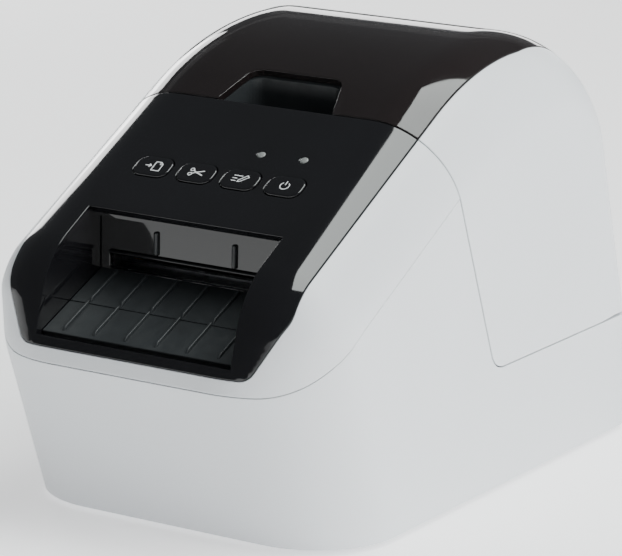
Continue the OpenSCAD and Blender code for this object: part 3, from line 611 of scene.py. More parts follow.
def new_piece(name, shapes, material, body, nodes=(), merge=0.02, sharp=50):
    """Joins shapes into one piece, gives it its finish and seats it on its body."""
    mesh = bpy.data.meshes.new(name)
    verts, faces = [], []
    total = 0
    for shape_verts, shape_faces in shapes:
        verts.append(shape_verts)
        faces += [tuple(v + total for v in f) for f in shape_faces]
        total += len(shape_verts)
    mesh.from_pydata((np.vstack(verts) * MM).tolist(), [], faces)
    bm = bmesh.new()
    bm.from_mesh(mesh)
    if merge:
        bmesh.ops.remove_doubles(bm, verts=bm.verts, dist=merge * MM)
    bm.to_mesh(mesh)
    bm.free()
    mesh.validate()
    mesh.shade_smooth()
    mesh.set_sharp_from_angle(angle=math.radians(sharp))
    obj = bpy.data.objects.new(name, mesh)
    bpy.context.scene.collection.objects.link(obj)
    mesh.materials.append(material)
    soften(obj)
    seat(obj, body, nodes)
    return obj


def seat(obj, body, nodes=()):
    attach(obj, body)
    if nodes:
        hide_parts(*nodes)
    return obj


def node_box(name):
    low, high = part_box(name)
    return np.array(low) / MM, np.array(high) / MM


# ---- Finishes ----
def sizes():
    return bpy.context.scene.label_maker_sizes


def colours():
    return bpy.context.scene.label_maker_colours


class Finish:
    """A material with its shader, and helpers that add to it."""

    def __init__(self, name, colour, roughness, metallic=0.0, **values):
        self.material = bpy.data.materials.new(name)
        self.material.use_nodes = True
        self.tree = self.material.node_tree
        self.shader = self.tree.nodes["Principled BSDF"]
        self.set("Base Color", (*colour, 1))
        self.set("Roughness", roughness)
        self.set("Metallic", metallic)
        for key, value in values.items():
            self.set(key.replace("_", " "), value)
        self.place = self.add("ShaderNodeTexCoord").outputs["Object"]

    def set(self, socket, value):
        self.shader.inputs[socket].default_value = value

    def add(self, kind, **values):
        node = self.tree.nodes.new(kind)
        for key, value in values.items():
            setattr(node, key, value)
        return node

    def link(self, out, into):
        self.tree.links.new(out, into)
        return into

    def noise(self, scale, detail=3, roughness=0.5, stretch=(1, 1, 1)):
        mapping = self.add("ShaderNodeMapping")
        mapping.inputs["Scale"].default_value = stretch
        self.link(self.place, mapping.inputs["Vector"])
        noise = self.add("ShaderNodeTexNoise")
        noise.inputs["Scale"].default_value = scale
        noise.inputs["Detail"].default_value = detail
        noise.inputs["Roughness"].default_value = roughness
        self.link(mapping.outputs["Vector"], noise.inputs["Vector"])
        return noise.outputs["Fac"]

    def ramp(self, value, low, high):
        spread = self.add("ShaderNodeMapRange")
        spread.inputs["From Min"].default_value = 0.3
        spread.inputs["From Max"].default_value = 0.7
        spread.inputs["To Min"].default_value = low
        spread.inputs["To Max"].default_value = high
        self.link(value, spread.inputs["Value"])
        return spread.outputs["Result"]

    def vary_colour(self, value, first, second):
        blend = self.add("ShaderNodeMix", data_type="RGBA")
        blend.inputs["A"].default_value = (*first, 1)
        blend.inputs["B"].default_value = (*second, 1)
        self.link(value, blend.inputs["Factor"])
        self.link(blend.outputs["Result"], self.shader.inputs["Base Color"])

    def vary_roughness(self, value, low, high):
        self.link(self.ramp(value, low, high), self.shader.inputs["Roughness"])

    def bump(self, value, height, strength=1.0):
        """Height in millimetres between the lowest and highest point of the pattern."""
        bump = self.add("ShaderNodeBump")
        bump.inputs["Strength"].default_value = strength
        bump.inputs["Distance"].default_value = height * MM
        self.link(value, bump.inputs["Height"])
        before = self.shader.inputs["Normal"].links
        if before:
            self.link(before[0].from_socket, bump.inputs["Normal"])
        self.link(bump.outputs["Normal"], self.shader.inputs["Normal"])


def tint(colour, factor):
    return tuple(min(1.0, c * factor) for c in colour)


def make_finishes():
    c = colours()
    finishes = {}
    white = Finish("satin_white_plastic", c.casing, 0.36, IOR=1.48)
    white.vary_colour(white.ramp(white.noise(14, 2), 0, 1), tint(c.casing, 0.985), tint(c.casing, 1.01))
    white.vary_roughness(white.noise(420, 4), 0.33, 0.41)
    white.bump(white.noise(2600, 2), 0.004)
    finishes["casing_white"] = white.material

    gloss = Finish("gloss_black_plastic", c.fascia, 0.07, IOR=1.5, Coat_Weight=0.35, Coat_Roughness=0.03)
    gloss.vary_colour(gloss.ramp(gloss.noise(20, 2), 0, 1), tint(c.fascia, 0.9), tint(c.fascia, 1.15))
    gloss.vary_roughness(gloss.noise(60, 3), 0.055, 0.095)
    gloss.bump(gloss.noise(240, 2), 0.0012)
    finishes["gloss_black"] = gloss.material

    smoke = Finish("smoked_clear_plastic", c.window, 0.05, IOR=1.5, Alpha=0.9,
                   Coat_Weight=0.3, Coat_Roughness=0.02)
    smoke.vary_colour(smoke.ramp(smoke.noise(9, 3), 0, 1), tint(c.window, 0.8), tint(c.window, 1.25))
    smoke.vary_roughness(smoke.noise(50, 3), 0.04, 0.075)
    smoke.bump(smoke.noise(200, 2), 0.001)
    finishes["smoked_window"] = smoke.material

    dark = Finish("grained_dark_plastic", c.tray, 0.42, IOR=1.47)
    dark.vary_colour(dark.ramp(dark.noise(90, 4), 0, 1), tint(c.tray, 0.85), tint(c.tray, 1.15))
    dark.vary_roughness(dark.noise(300, 3), 0.34, 0.5)
    dark.bump(dark.noise(1500, 3, 0.6), 0.02, 0.6)
    finishes["dark_plastic"] = dark.material

    steel = Finish("brushed_steel", (0.62, 0.63, 0.65), 0.3, 1.0)
    streaks = steel.noise(120, 4, 0.6, (1, 30, 30))
    steel.vary_colour(steel.ramp(streaks, 0, 1), (0.55, 0.56, 0.58), (0.68, 0.69, 0.7))
    steel.vary_roughness(streaks, 0.22, 0.4)
    steel.bump(streaks, 0.003)
    finishes["steel"] = steel.material

    brass = Finish("turned_brass", (0.78, 0.6, 0.3), 0.28, 1.0)
    rings = brass.noise(300, 3, 0.5, (25, 1, 1))
    brass.vary_colour(brass.ramp(brass.noise(60, 3), 0, 1), (0.7, 0.52, 0.25), (0.83, 0.66, 0.36))
    brass.vary_roughness(rings, 0.2, 0.36)
    finishes["brass"] = brass.material

    rubber = Finish("matt_rubber", (0.018, 0.018, 0.019), 0.75, IOR=1.45)
    rubber.vary_colour(rubber.ramp(rubber.noise(120, 4), 0, 1), (0.012, 0.012, 0.013), (0.028, 0.028, 0.029))
    rubber.vary_roughness(rubber.noise(500, 3), 0.65, 0.85)
    rubber.bump(rubber.noise(1800, 3), 0.02)
    finishes["rubber"] = rubber.material

    board = Finish("lacquered_board", (0.02, 0.14, 0.06), 0.32, IOR=1.5)
    tracks = board.add("ShaderNodeTexBrick", offset=0.5, squash=1.0)
    tracks.inputs["Scale"].default_value = 260
    tracks.inputs["Mortar Size"].default_value = 0.06
    tracks.inputs["Color1"].default_value = (0.018, 0.13, 0.055, 1)
    tracks.inputs["Color2"].default_value = (0.022, 0.17, 0.07, 1)
    tracks.inputs["Mortar"].default_value = (0.05, 0.26, 0.12, 1)
    board.link(board.place, tracks.inputs["Vector"])
    board.link(tracks.outputs["Color"], board.shader.inputs["Base Color"])
    board.vary_roughness(board.noise(300, 3), 0.26, 0.42)
    board.bump(tracks.outputs["Fac"], 0.02)
    finishes["circuit_board"] = board.material

    nylon = Finish("natural_nylon", (0.8, 0.78, 0.7), 0.45, IOR=1.5, Subsurface_Weight=0.1)
    nylon.vary_colour(nylon.ramp(nylon.noise(70, 3), 0, 1), (0.74, 0.72, 0.64), (0.84, 0.82, 0.75))
    nylon.vary_roughness(nylon.noise(400, 3), 0.38, 0.52)
    nylon.bump(nylon.noise(1500, 2), 0.01)
    finishes["nylon"] = nylon.material

    lens = Finish("frosted_lens", (0.42, 0.44, 0.43), 0.25, IOR=1.49, Transmission_Weight=0.5)
    lens.vary_colour(lens.ramp(lens.noise(300, 3), 0, 1), (0.36, 0.38, 0.37), (0.48, 0.5, 0.49))
    lens.vary_roughness(lens.noise(900, 2), 0.18, 0.34)
    finishes["lens"] = lens.material

    alloy = Finish("cast_aluminium", (0.72, 0.73, 0.74), 0.38, 1.0)
    alloy.vary_colour(alloy.ramp(alloy.noise(80, 4), 0, 1), (0.64, 0.65, 0.66), (0.78, 0.79, 0.8))
    alloy.vary_roughness(alloy.noise(500, 4), 0.3, 0.48)
    alloy.bump(alloy.noise(900, 3), 0.01)
    finishes["aluminium"] = alloy.material

    mark = Finish("printed_mark", c.mark, 0.45, IOR=1.45)
    mark.vary_colour(mark.ramp(mark.noise(700, 3), 0, 1), tint(c.mark, 0.93), tint(c.mark, 1.03))
    mark.vary_roughness(mark.noise(900, 3), 0.38, 0.52)
    finishes["mark"] = mark.material
    return finishes


FINISHES = {}


def finish(name):
    if not FINISHES:
        FINISHES.update(make_finishes())
    return FINISHES[name]


# ---- Outlines of the casing panels, in (across, along) ----
RIM_STEP = 1.0


def mirror_outline(half):
    """The right half of an outline, from the middle to the middle, with its mirror image."""
    left = half[::-1] * (-1, 1)
    if abs(half[0, 0]) < 1e-9:
        left = left[:-1]
    if abs(half[-1, 0]) < 1e-9:
        left = left[1:]
    return np.vstack([half, left])


def front_edge(x_values, shift):
    """The cover's front edge where the surface has each x."""
    return by_x(x_values, edge_test(shift), CHIN_ALONG, CROWN_ALONG + 20)


def upright(x, low_along, high_along):
    """The line on the surface with a fixed x, between two lengths along it."""
    along = resample([[low_along, 0], [high_along, 0]], RIM_STEP)[:, 0]
    return np.column_stack([across_at(np.full(len(along), x), along), along])


def fascia_edge(grow):
    """The black fascia's front and side edge as (x, z), from the middle to the cover."""
    side = BLACK_HALF_W + grow
    corner = rounded([(0, LIP_Z - grow, 0), (41.2 + grow, LIP_Z - grow, 5), (side, LIP_Z + 18.4, 8),
                      (side, LIP_Z + 60, 0)])[:-1]
    return resample(corner, RIM_STEP)


def on_front(xz):
    """Outline points given as (x, z) on the front of the body."""
    x, z = xz[:, 0], xz[:, 1]
    return by_x(x, lambda p: p[:, 2] - z, 0, CROWN_ALONG)


def on_rear(xz):
    """Outline points given as (x, z) on the rear of the body."""
    x, z = xz[:, 0], xz[:, 1]
    return by_x(x, lambda p: p[:, 2] - z, CROWN_ALONG, END)


def on_top(xy):
    """Outline points given as (x, y) above the nose."""
    x, y = xy[:, 0], xy[:, 1]
    return by_x(x, lambda p: p[:, 1] - y, CHIN_ALONG, CROWN_ALONG + 30)


def fascia_side(grow, shift):
    """Front and side edge of the fascia in (across, along), from the middle to the cover's edge."""
    front = on_front(fascia_edge(grow))
    end = front_edge([BLACK_HALF_W + grow], shift)[0]
    return np.vstack([front, upright(BLACK_HALF_W + grow, front[-1, 1], end[1])[1:]])


def on_panel(along):
    """(y, z) of a point that far up the button panel from the nose edge."""
    return NOSE + along * heading(PANEL_SLOPE)


def panel_across(xy):
    """Points given as (x, distance up the button panel) in (across, along)."""
    along = along_where(y=on_panel(30)[0]) + xy[:, 1] - 30
    return np.column_stack([across_at(xy[:, 0], along), along])


TRAY_SLOPE = 23.8
TRAY_FRONT = np.array([FRONT_Y + 3.6, LIP_Z + 3.1])
TRAY_SPLIT_Y = FRONT_Y + 19.5
RECESS_REAR_Y = FRONT_Y + 36
RECESS_TOP = 24.7


def tray_z(y):
    return TRAY_FRONT[1] + (y - TRAY_FRONT[0]) * math.tan(math.radians(TRAY_SLOPE))


EXIT_Z = tray_z(RECESS_REAR_Y)
BUTTON_ALONG = 46
BUTTON_SIZE = (13, 8.9)
BUTTON_R = 3.6
BUTTON_GAP = 0.25
BUTTON_NODES = ("feed_button", "cut_button", "editor_button", "power_button")
BUTTON_BODIES = ("feed_key", "cut_key", "editor_key", "power_key")


def middle(name):
    low, high = node_box(name)
    return (low + high) / 2


def lens_spot(name):
    """(x, distance up the panel) of a light pipe's outer end."""
    low, high = node_box(name)
    radius = (high[0] - low[0]) / 2
    top_y = low[1] + radius * math.cos(math.radians(PANEL_SLOPE))
    return (low[0] + radius, (top_y - NOSE[0]) / math.cos(math.radians(PANEL_SLOPE)))


def recess_hole():
    """The outlet's opening in the fascia."""
    low = by_x(resample([[-RECESS_HALF_W, 0], [RECESS_HALF_W, 0]], RIM_STEP)[:, 0],
               lambda p: p[:, 2] - TRAY_FRONT[1], 0, CROWN_ALONG)
    top = panel_across(resample([[RECESS_HALF_W, RECESS_TOP], [-RECESS_HALF_W, RECESS_TOP]], RIM_STEP))
    right = upright(RECESS_HALF_W, low[-1, 1], top[0, 1])
    left = right[::-1] * (-1, 1)
    return np.vstack([low, right[1:-1], top, left[1:-1]])


def wall_line(low, high, step=1.5):
    """The line where the rounded edge meets the flat side wall."""
    along = resample([[low, 0], [high, 0]], step)[:, 0]
    return np.column_stack([np.full(len(along), JOINT_LINE), along])


def side_yz(points):
    """(y, z) of points on the side wall line."""
    return body_point(points)[:, 1:]


def side_place(side):
    def place(points, depth=0):
        p = np.atleast_2d(points)
        return np.column_stack([np.full(len(p), side * (HALF_W - depth)), p])
    return place


def joint_flags(points, others):
    """Marks each edge of an outline whose two ends both lie on the joint line."""
    keys = {tuple(np.round(p, 4)) for p in others}
    on = np.array([tuple(np.round(p, 4)) in keys for p in points])
    return on & np.roll(on, -1)


MEET_Y = (edge_y(SEAM_JOIN[1]) + EDGE_LEAN * math.tan(math.radians(SEAM_SLOPE)) * SEAM_JOIN[0]) / (
    1 + EDGE_LEAN * math.tan(math.radians(SEAM_SLOPE)))
COVER_SHIFT = COVER_GAP * 1.085
REAR_LIFT = 1.0


def seam_line(lift):
    """The front seam from the middle of the front to the cover's edge, lifted by half its gap."""
    y = np.concatenate([np.linspace(SEAM_START[0], SEAM_JOIN[0], 40),
                        np.arange(SEAM_JOIN[0] + 1, MEET_Y, 1.0)])
    curve = chart_of(np.column_stack([y, seam_z(y) + lift]))
    front = by_across(np.arange(0, FLAT + 0.1, RIM_STEP),
                      lambda p: p[:, 2] - FRONT_SEAM_Z - lift, 0, CROWN_ALONG)
    bend = by_across(np.arange(FLAT + 1, curve[0, 0] - 0.4, RIM_STEP),
                     lambda p: p[:, 2] - FRONT_SEAM_Z - lift, 0, CROWN_ALONG)
    return np.vstack([front, bend, curve])


def edge_points(z_from, z_to, shift):
    """The cover's front edge between two heights, on the rounded edge."""
    z = np.linspace(z_from, z_to, max(2, int(abs(z_to - z_from) / RIM_STEP)))
    return chart_of(np.column_stack([edge_y(z, shift), z]))


def meet_z(lift):
    y = MEET_Y
    for _ in range(20):
        y = edge_y(seam_z(y) + lift)
    return float(seam_z(y) + lift)


def cross_row(along):
    """Points from the middle to the wall joint, all that far along the outline."""
    across = np.arange(0, JOINT_LINE, 1.5)
    return np.column_stack([across, np.full(len(across), float(along))])


def base_shapes(wall, gap, roll):
    lift = -gap / 2
    edge = by_across([JOINT_LINE], edge_test(-gap), CHIN_ALONG, CROWN_ALONG)[0]
    rise = wall_line(0, edge[1])
    top_z = meet_z(lift)
    start_z = body_point(edge[None])[0, 2]
    climb = edge_points(start_z, top_z, -gap)[1:]
    bottom = cross_row(0)
    seam = seam_line(lift)
    seam = seam[body_point(seam)[:, 1] < edge_y(top_z) - 0.6]
    half = np.vstack([bottom, rise, climb, seam[::-1]])
    outline = mirror_outline(half)
    front = panel(body_point, [make_loop(outline, wall_joints(outline))], wall, roll)

    rear_top = by_across(np.append(np.arange(0, JOINT_LINE, RIM_STEP), JOINT_LINE),
                         lambda p: p[:, 2] - SEAM_Z, CROWN_ALONG, END)
    fall = wall_line(rear_top[-1, 1], END)
    low = cross_row(END)[::-1]
    outline = mirror_outline(np.vstack([rear_top, fall[1:], low]))
    holes = [on_rear(resample(rectangle(w, h, 1.2, (x, z), 4), RIM_STEP, True))
             for x, z, w, h in socket_holes()]
    loops = [make_loop(outline, wall_joints(outline))] + [make_loop(h, hole=True) for h in holes]
    rear = panel(body_point, loops, wall, roll)

    front_line, rear_line = side_yz(rise), side_yz(fall)
    foot_z = SEAM_Z
    corner = rounded([(edge_y(start_z, -gap), start_z, 0), (edge_y(foot_z, -gap), foot_z, CORNER_R + gap),
                      (rear_line[0, 0], foot_z, 0)], 10)[1:-1]
    level = resample(np.vstack([front_line[-1], corner, rear_line[0]]), 2.0)[1:-1]
    sill = resample([rear_line[-1], front_line[0]], 3.0)[1:-1]
    yz = np.vstack([front_line, level, rear_line, sill])
    joint = joint_flags(yz, front_line) | joint_flags(yz, rear_line)
    loop = make_loop(yz, joint)
    sides = [panel(side_place(s), [loop], wall, roll, step=7.0, flip=s < 0) for s in (1, -1)]
    return [front, rear, *sides]


def wall_joints(outline):
    on = np.abs(np.abs(outline[:, 0]) - JOINT_LINE) < 1e-6
    return on & np.roll(on, -1)


SOCKET_GAP = 0.3


def socket_holes():
    """(x, z, width, height) of the openings round the two sockets."""
    out = []
    for name in ("power_inlet", "usb_socket"):
        low, high = node_box(name)
        x, _, z = (low + high) / 2
        width, _, height = high - low + SOCKET_GAP
        out.append((x, z, width, height))
    return out


def front_shapes(wall, gap, roll):
    lift = gap / 2
    top_z = meet_z(lift)
    seam = seam_line(lift)
    seam = seam[body_point(seam)[:, 1] < edge_y(top_z) - 0.6]
    side = fascia_side(gap / 2, 0)
    side_top = body_point(side[-1:])[0, 2]
    climb = edge_points(top_z, side_top, 0)
    half = np.vstack([seam, climb[:-1], side[::-1]])
    return [panel(body_point, [make_loop(mirror_outline(half))], wall, roll)]


def fascia_shapes(wall, gap, roll):
    side = fascia_side(-gap / 2, 0)
    back_x = resample([[BLACK_HALF_W - gap / 2, 0], [0, 0]], RIM_STEP)[1:, 0]
    back = front_edge(back_x, 0)
    loops = [make_loop(mirror_outline(np.vstack([side, back])))]
    loops.append(make_loop(recess_hole(), hole=True))
    for name in BUTTON_NODES:
        hole = rectangle(BUTTON_SIZE[0] + 2 * BUTTON_GAP, BUTTON_SIZE[1] + 2 * BUTTON_GAP,
                         BUTTON_R + BUTTON_GAP, (middle(name)[0], BUTTON_ALONG), 10)
        loops.append(make_loop(panel_across(resample(hole, 0.8, True)), hole=True))
    for name in ("status_lens", "editor_lens"):
        loops.append(make_loop(panel_across(ring(1.45, lens_spot(name), 24)), hole=True))
    shapes = [panel(body_point, loops, wall, roll)]
    cheek_top = upright(RECESS_HALF_W, along_where(z=TRAY_FRONT[1] - 2.6),
                        along_where(y=on_panel(RECESS_TOP + 4)[0]))
    curve = body_point(cheek_top, 0.9)[:, 1:]
    foot = [(RECESS_REAR_Y + 2, EXIT_Z - 2.2), (TRAY_FRONT[0] + 1, TRAY_FRONT[1] - 2.2)]
    cheek = resample(np.vstack([curve, [(RECESS_REAR_Y + 2, curve[-1, 1] - 2)], foot]), 2.5, True)
    shapes += both_sides(prism_x([cheek], RECESS_HALF_W + 0.05, RECESS_HALF_W + 2, 0.1))
    brow_y = on_panel(RECESS_TOP)[0]
    under = wall / math.cos(math.radians(PANEL_SLOPE)) - 0.8
    rise = math.tan(math.radians(PANEL_SLOPE))
    brow = [(brow_y + 1.2, on_panel(RECESS_TOP)[1] - 3.0), (RECESS_REAR_Y, 93.5), (RECESS_REAR_Y + 2, 93.5),
            (RECESS_REAR_Y + 2, on_panel(RECESS_TOP)[1] + (RECESS_REAR_Y + 2 - brow_y) * rise - under),
            (brow_y + 1.2, on_panel(RECESS_TOP)[1] + 1.2 * rise - under)]
    shapes.append(prism_x([np.array(brow)], -RECESS_HALF_W - 1, RECESS_HALF_W + 1, 0.1))
    return shapes


def prism_x(outlines, low, high, roll=0.2, step=8.0):
    """A solid with the given (y, z) outlines between two x values."""
    return plate(outlines, high - low, (high, 0, 0), Y_AXIS, Z_AXIS, roll, step=step)


def cover_shapes(wall, gap, roll):
    grow = gap / 2
    side_end = front_edge([BLACK_HALF_W + grow], COVER_SHIFT)[0]
    side_x = BLACK_HALF_W + grow
    rear_corner = rounded([(0, WINDOW_LOW_Z - grow, 0), (side_x, WINDOW_LOW_Z - grow, 12),
                           (side_x, CROWN_Z - 30, 0)], 10)
    rear_cut = on_rear(resample(rear_corner, RIM_STEP))
    up = upright(side_x, rear_cut[-1, 1], side_end[1])[1:]
    wall_top = by_across([JOINT_LINE], edge_test(COVER_SHIFT), CHIN_ALONG, CROWN_ALONG)[0]
    z_top = body_point(side_end[None])[0, 2]
    z_low = body_point(wall_top[None])[0, 2]
    front = edge_points(z_top, z_low, COVER_SHIFT)[1:]
    rear_z = SEAM_Z + REAR_LIFT
    hinge_x, hinge_half, hinge_top = hinge_notch()
    outer_x, inner_x = hinge_x + hinge_half, hinge_x - hinge_half
    low_line = rounded([(HALF_W, rear_z, 0), (outer_x, rear_z, 0), (outer_x, hinge_top, 1.2),
                        (inner_x, hinge_top, 1.2), (inner_x, rear_z, 0), (0, rear_z, 0)], 4)
    low_xz = resample(low_line[1:], RIM_STEP)
    low = on_rear(low_xz)
    bend = by_across(np.arange(low[0, 0] + 1, JOINT_LINE, RIM_STEP)[::-1],
                     lambda p: p[:, 2] - rear_z, CROWN_ALONG, END)
    wall_low = by_across([JOINT_LINE], lambda p: p[:, 2] - rear_z, CROWN_ALONG, END)[0]
    line = wall_line(front[-1, 1], wall_low[1])
    half = np.vstack([rear_cut, up, front[:-1], line, bend, low])
    outline = mirror_outline(half)
    top = panel(body_point, [make_loop(outline, wall_joints(outline))], wall, roll)

    line_yz = side_yz(line)
    foot_z = SEAM_Z + COVER_GAP
    z0 = line_yz[0, 1]
    corner = rounded([(edge_y(z0, COVER_SHIFT), z0, 0),
                      (edge_y(foot_z, COVER_SHIFT), foot_z, CORNER_R - COVER_GAP),
                      (line_yz[-1, 0] - 9, foot_z, 0)], 10)[1:]
    sill = resample(np.vstack([line_yz[-1], corner[::-1], line_yz[0]]), 2.0)[1:-1]
    yz = np.vstack([line_yz, sill])
    loop = make_loop(yz, joint_flags(yz, line_yz))
    sides = [panel(side_place(s), [loop], wall, roll, step=7.0, flip=s < 0) for s in (1, -1)]
    return [top, *sides]


def hinge_notch():
    """Middle x, half width and top of the openings round the base's hinge lugs."""
    low, high = node_box("hinge_pins")
    reach = high[0]
    return reach - 9, 5.3, (low[2] + high[2]) / 2 + 4


def notch_half(grow=0.0):
    """The right half of the finger notch in (x, y), from its middle to the cover's front edge."""
    rear_y = float(edge_y(CROWN_Z)) + 23
    mouth_x = 21.2
    mouth_y = body_point(front_edge([mouth_x], COVER_SHIFT))[0, 1]
    return rounded([(0, rear_y + grow, 0), (16.5 + grow, rear_y + grow, 5 + grow),
                    (mouth_x + grow, mouth_y, 0)], 10)


def window_shapes(wall, gap, roll):
    grow = -gap / 2
    side_x = BLACK_HALF_W + grow
    notch = notch_half()
    notch_chart = on_top(resample(notch, RIM_STEP)[:-1])
    front = front_edge(resample([[notch[-1, 0], 0], [side_x, 0]], RIM_STEP)[:, 0], COVER_SHIFT)
    rear_corner = rounded([(0, WINDOW_LOW_Z - grow, 0), (side_x, WINDOW_LOW_Z - grow, 12),
                           (side_x, CROWN_Z - 30, 0)], 10)
    rear_cut = on_rear(resample(rear_corner, RIM_STEP))
    up = upright(side_x, front[-1, 1], rear_cut[-1, 1])[1:-1]
    half = np.vstack([notch_chart, front, up, rear_cut[::-1]])
    return [panel(body_point, [make_loop(mirror_outline(half))], wall, roll)]


# ---- Geometry Nodes ----
def node_tree(name, inputs):
    """A geometry tree with a geometry input and named inputs of (name, socket type, default)."""
    tree = bpy.data.node_groups.new(name, "GeometryNodeTree")
    tree.interface.new_socket("Geometry", in_out="INPUT", socket_type="NodeSocketGeometry")
    for label, kind, default in inputs:
        socket = tree.interface.new_socket(label, in_out="INPUT", socket_type=kind)
        if default is not None:
            socket.default_value = default
    tree.interface.new_socket("Geometry", in_out="OUTPUT", socket_type="NodeSocketGeometry")
    return tree, tree.nodes.new("NodeGroupInput"), tree.nodes.new("NodeGroupOutput")


def finish_tree(tree, entry, exit_node, geometry):
    """Ends a tree in Realize Instances and Set Material."""
    real = tree.nodes.new("GeometryNodeRealizeInstances")
    paint = tree.nodes.new("GeometryNodeSetMaterial")
    tree.links.new(geometry, real.inputs[0])
    tree.links.new(real.outputs[0], paint.inputs["Geometry"])
    tree.links.new(entry.outputs["Finish"], paint.inputs["Material"])
    tree.links.new(paint.outputs[0], exit_node.inputs["Geometry"])
    return tree


def row_tree():
    """Repeats the item that it is given along a straight row."""
    tree, entry, leave = node_tree("Row of Items", [
        ("Count", "NodeSocketInt", 2), ("Start", "NodeSocketVector", None),
        ("Step", "NodeSocketVector", None), ("Finish", "NodeSocketMaterial", None)])
    line = tree.nodes.new("GeometryNodeMeshLine")
    put = tree.nodes.new("GeometryNodeInstanceOnPoints")
    tree.links.new(entry.outputs["Count"], line.inputs["Count"])
    tree.links.new(entry.outputs["Start"], line.inputs["Start Location"])
    tree.links.new(entry.outputs["Step"], line.inputs["Offset"])
    tree.links.new(line.outputs["Mesh"], put.inputs["Points"])
    tree.links.new(entry.outputs["Geometry"], put.inputs["Instance"])
    return finish_tree(tree, entry, leave, put.outputs["Instances"])


def coil_tree():
    """A coil spring of round wire."""
    tree, entry, leave = node_tree("Coil Spring", [
        ("Turns", "NodeSocketFloat", 5.0), ("Radius", "NodeSocketFloat", 0.0025),
        ("Height", "NodeSocketFloat", 0.009), ("Wire", "NodeSocketFloat", 0.0004),
        ("Base", "NodeSocketVector", None), ("Finish", "NodeSocketMaterial", None)])
    spiral = tree.nodes.new("GeometryNodeCurveSpiral")
    spiral.inputs["Resolution"].default_value = 28
    profile = tree.nodes.new("GeometryNodeCurvePrimitiveCircle")
    profile.inputs["Resolution"].default_value = 10
    sweep = tree.nodes.new("GeometryNodeCurveToMesh")
    sweep.inputs["Fill Caps"].default_value = True
    place = tree.nodes.new("GeometryNodeTransform")
    tree.links.new(entry.outputs["Turns"], spiral.inputs["Rotations"])
    tree.links.new(entry.outputs["Radius"], spiral.inputs["Start Radius"])
    tree.links.new(entry.outputs["Radius"], spiral.inputs["End Radius"])
    tree.links.new(entry.outputs["Height"], spiral.inputs["Height"])
    tree.links.new(entry.outputs["Wire"], profile.inputs["Radius"])
    tree.links.new(spiral.outputs["Curve"], sweep.inputs["Curve"])
    tree.links.new(profile.outputs["Curve"], sweep.inputs["Profile Curve"])
    tree.links.new(sweep.outputs["Mesh"], place.inputs["Geometry"])
    tree.links.new(entry.outputs["Base"], place.inputs["Translation"])
    return finish_tree(tree, entry, leave, place.outputs["Geometry"])


def run_tree(tree, shape=None, **values):
    """Runs a tree on a shape and returns the result as a plain shape."""
    mesh = bpy.data.meshes.new("item")
    if shape is not None:
        mesh.from_pydata((shape[0] * MM).tolist(), [], [tuple(int(v) for v in f) for f in shape[1]])
    holder = bpy.data.objects.new("item", mesh)
    bpy.context.scene.collection.objects.link(holder)
    modifier = holder.modifiers.new("Repeat", "NODES")
    modifier.node_group = tree
    for item in tree.interface.items_tree:
        if item.in_out == "INPUT" and item.name in values:
            modifier[item.identifier] = values[item.name]
    holder.update_tag()
    graph = bpy.context.evaluated_depsgraph_get()
    result = bpy.data.meshes.new_from_object(holder.evaluated_get(graph))
    verts = np.array([v.co for v in result.vertices]) / MM
    faces = [tuple(p.vertices) for p in result.polygons]
    bpy.data.objects.remove(holder)
    bpy.data.meshes.remove(result)
    return verts, faces


TREES = {}


def tree_named(maker):
    if maker not in TREES:
        TREES[maker] = maker()
    return TREES[maker]


def row(shape, material, count, start, step):
    """Repeats a shape along a row, from the start, with the step between two of them."""
    return run_tree(tree_named(row_tree), shape, Count=count, Start=[c * MM for c in start],
                    Step=[c * MM for c in step], Finish=material)


def coil(material, turns, radius, height, wire, base):
    return run_tree(tree_named(coil_tree), None, Turns=float(turns), Radius=radius * MM, Height=height * MM,
                    Wire=wire * MM, Base=[c * MM for c in base], Finish=material)


# ---- Pieces ----
def make_base():
    z = sizes()
    shapes = base_shapes(z.wall, z.seam_gap, z.seam_roll)
    floor_z = FOOT_H + z.wall
    front = body_point(cross_row(0), z.wall + 0.05)[:, :2]
    rear = body_point(cross_row(END)[::-1], z.wall + 0.05)[:, :2]
    floor = mirror_outline(np.vstack([front, rear]))
    screws = screw_spots()
    holes = [ring(3.2, p, 24) for p in screws] + [ring(6.05, p, 32) for p in foot_spots()]
    shapes.append(plate([resample(floor, 3, True), *holes], z.wall - 0.3, (0, 0, floor_z),
                        X_AXIS, Y_AXIS, 0.2))
    for (x, y), top in zip(screws, (60, 58, 60, 58)):
        shapes.append(tube((x, y, 0), Z_AXIS, 4, 1.7, FOOT_H + 0.5, top, 0.3, 28))
        side = 1 if x > 0 else -1
        low = (min(x + side * 3, side * (HALF_W - 1.2)), y - 1, FOOT_H + 1)
        high = (max(x + side * 3, side * (HALF_W - 1.2)), y + 1, SEAM_Z - 4)
        shapes.append(block(low, high, 0.2))
    for x, y in board_spots():
        shapes.append(tube((x, y, 0), Z_AXIS, 3, 1.25, floor_z - 0.5, node_box("main_board")[0][2], 0.3, 24))
    hinge_x, _, _ = hinge_notch()
    low, high = node_box("hinge_pins")
    axis_y, axis_z = (low[1] + high[1]) / 2, (low[2] + high[2]) / 2
    for side in (-1, 1):
        x = side * hinge_x
        shapes.append(tube((x, axis_y, axis_z), X_AXIS, 2.6, 1.55, -5, 5, 0.3, 32))
        shapes.append(block((x - 4.95, axis_y - 2.4, SEAM_Z - 8),
                            (x + 4.95, axis_y + 1.6, axis_z - 1.7), 0.3))
    return new_piece("base_shell", shapes, finish("casing_white"), "root", ["base_casing"])


def screw_spots():
    """Middles of the four casing screws in (x, y): left front, left rear, right front, right rear."""
    high = node_box("casing_screws")[1]
    front_x = 55.85 if high[0] > 55 else high[0] - 3
    return [(-front_x, FRONT_Y + 81), (-52.0, REAR_Y - 21), (front_x, FRONT_Y + 81), (52.0, REAR_Y - 21)]


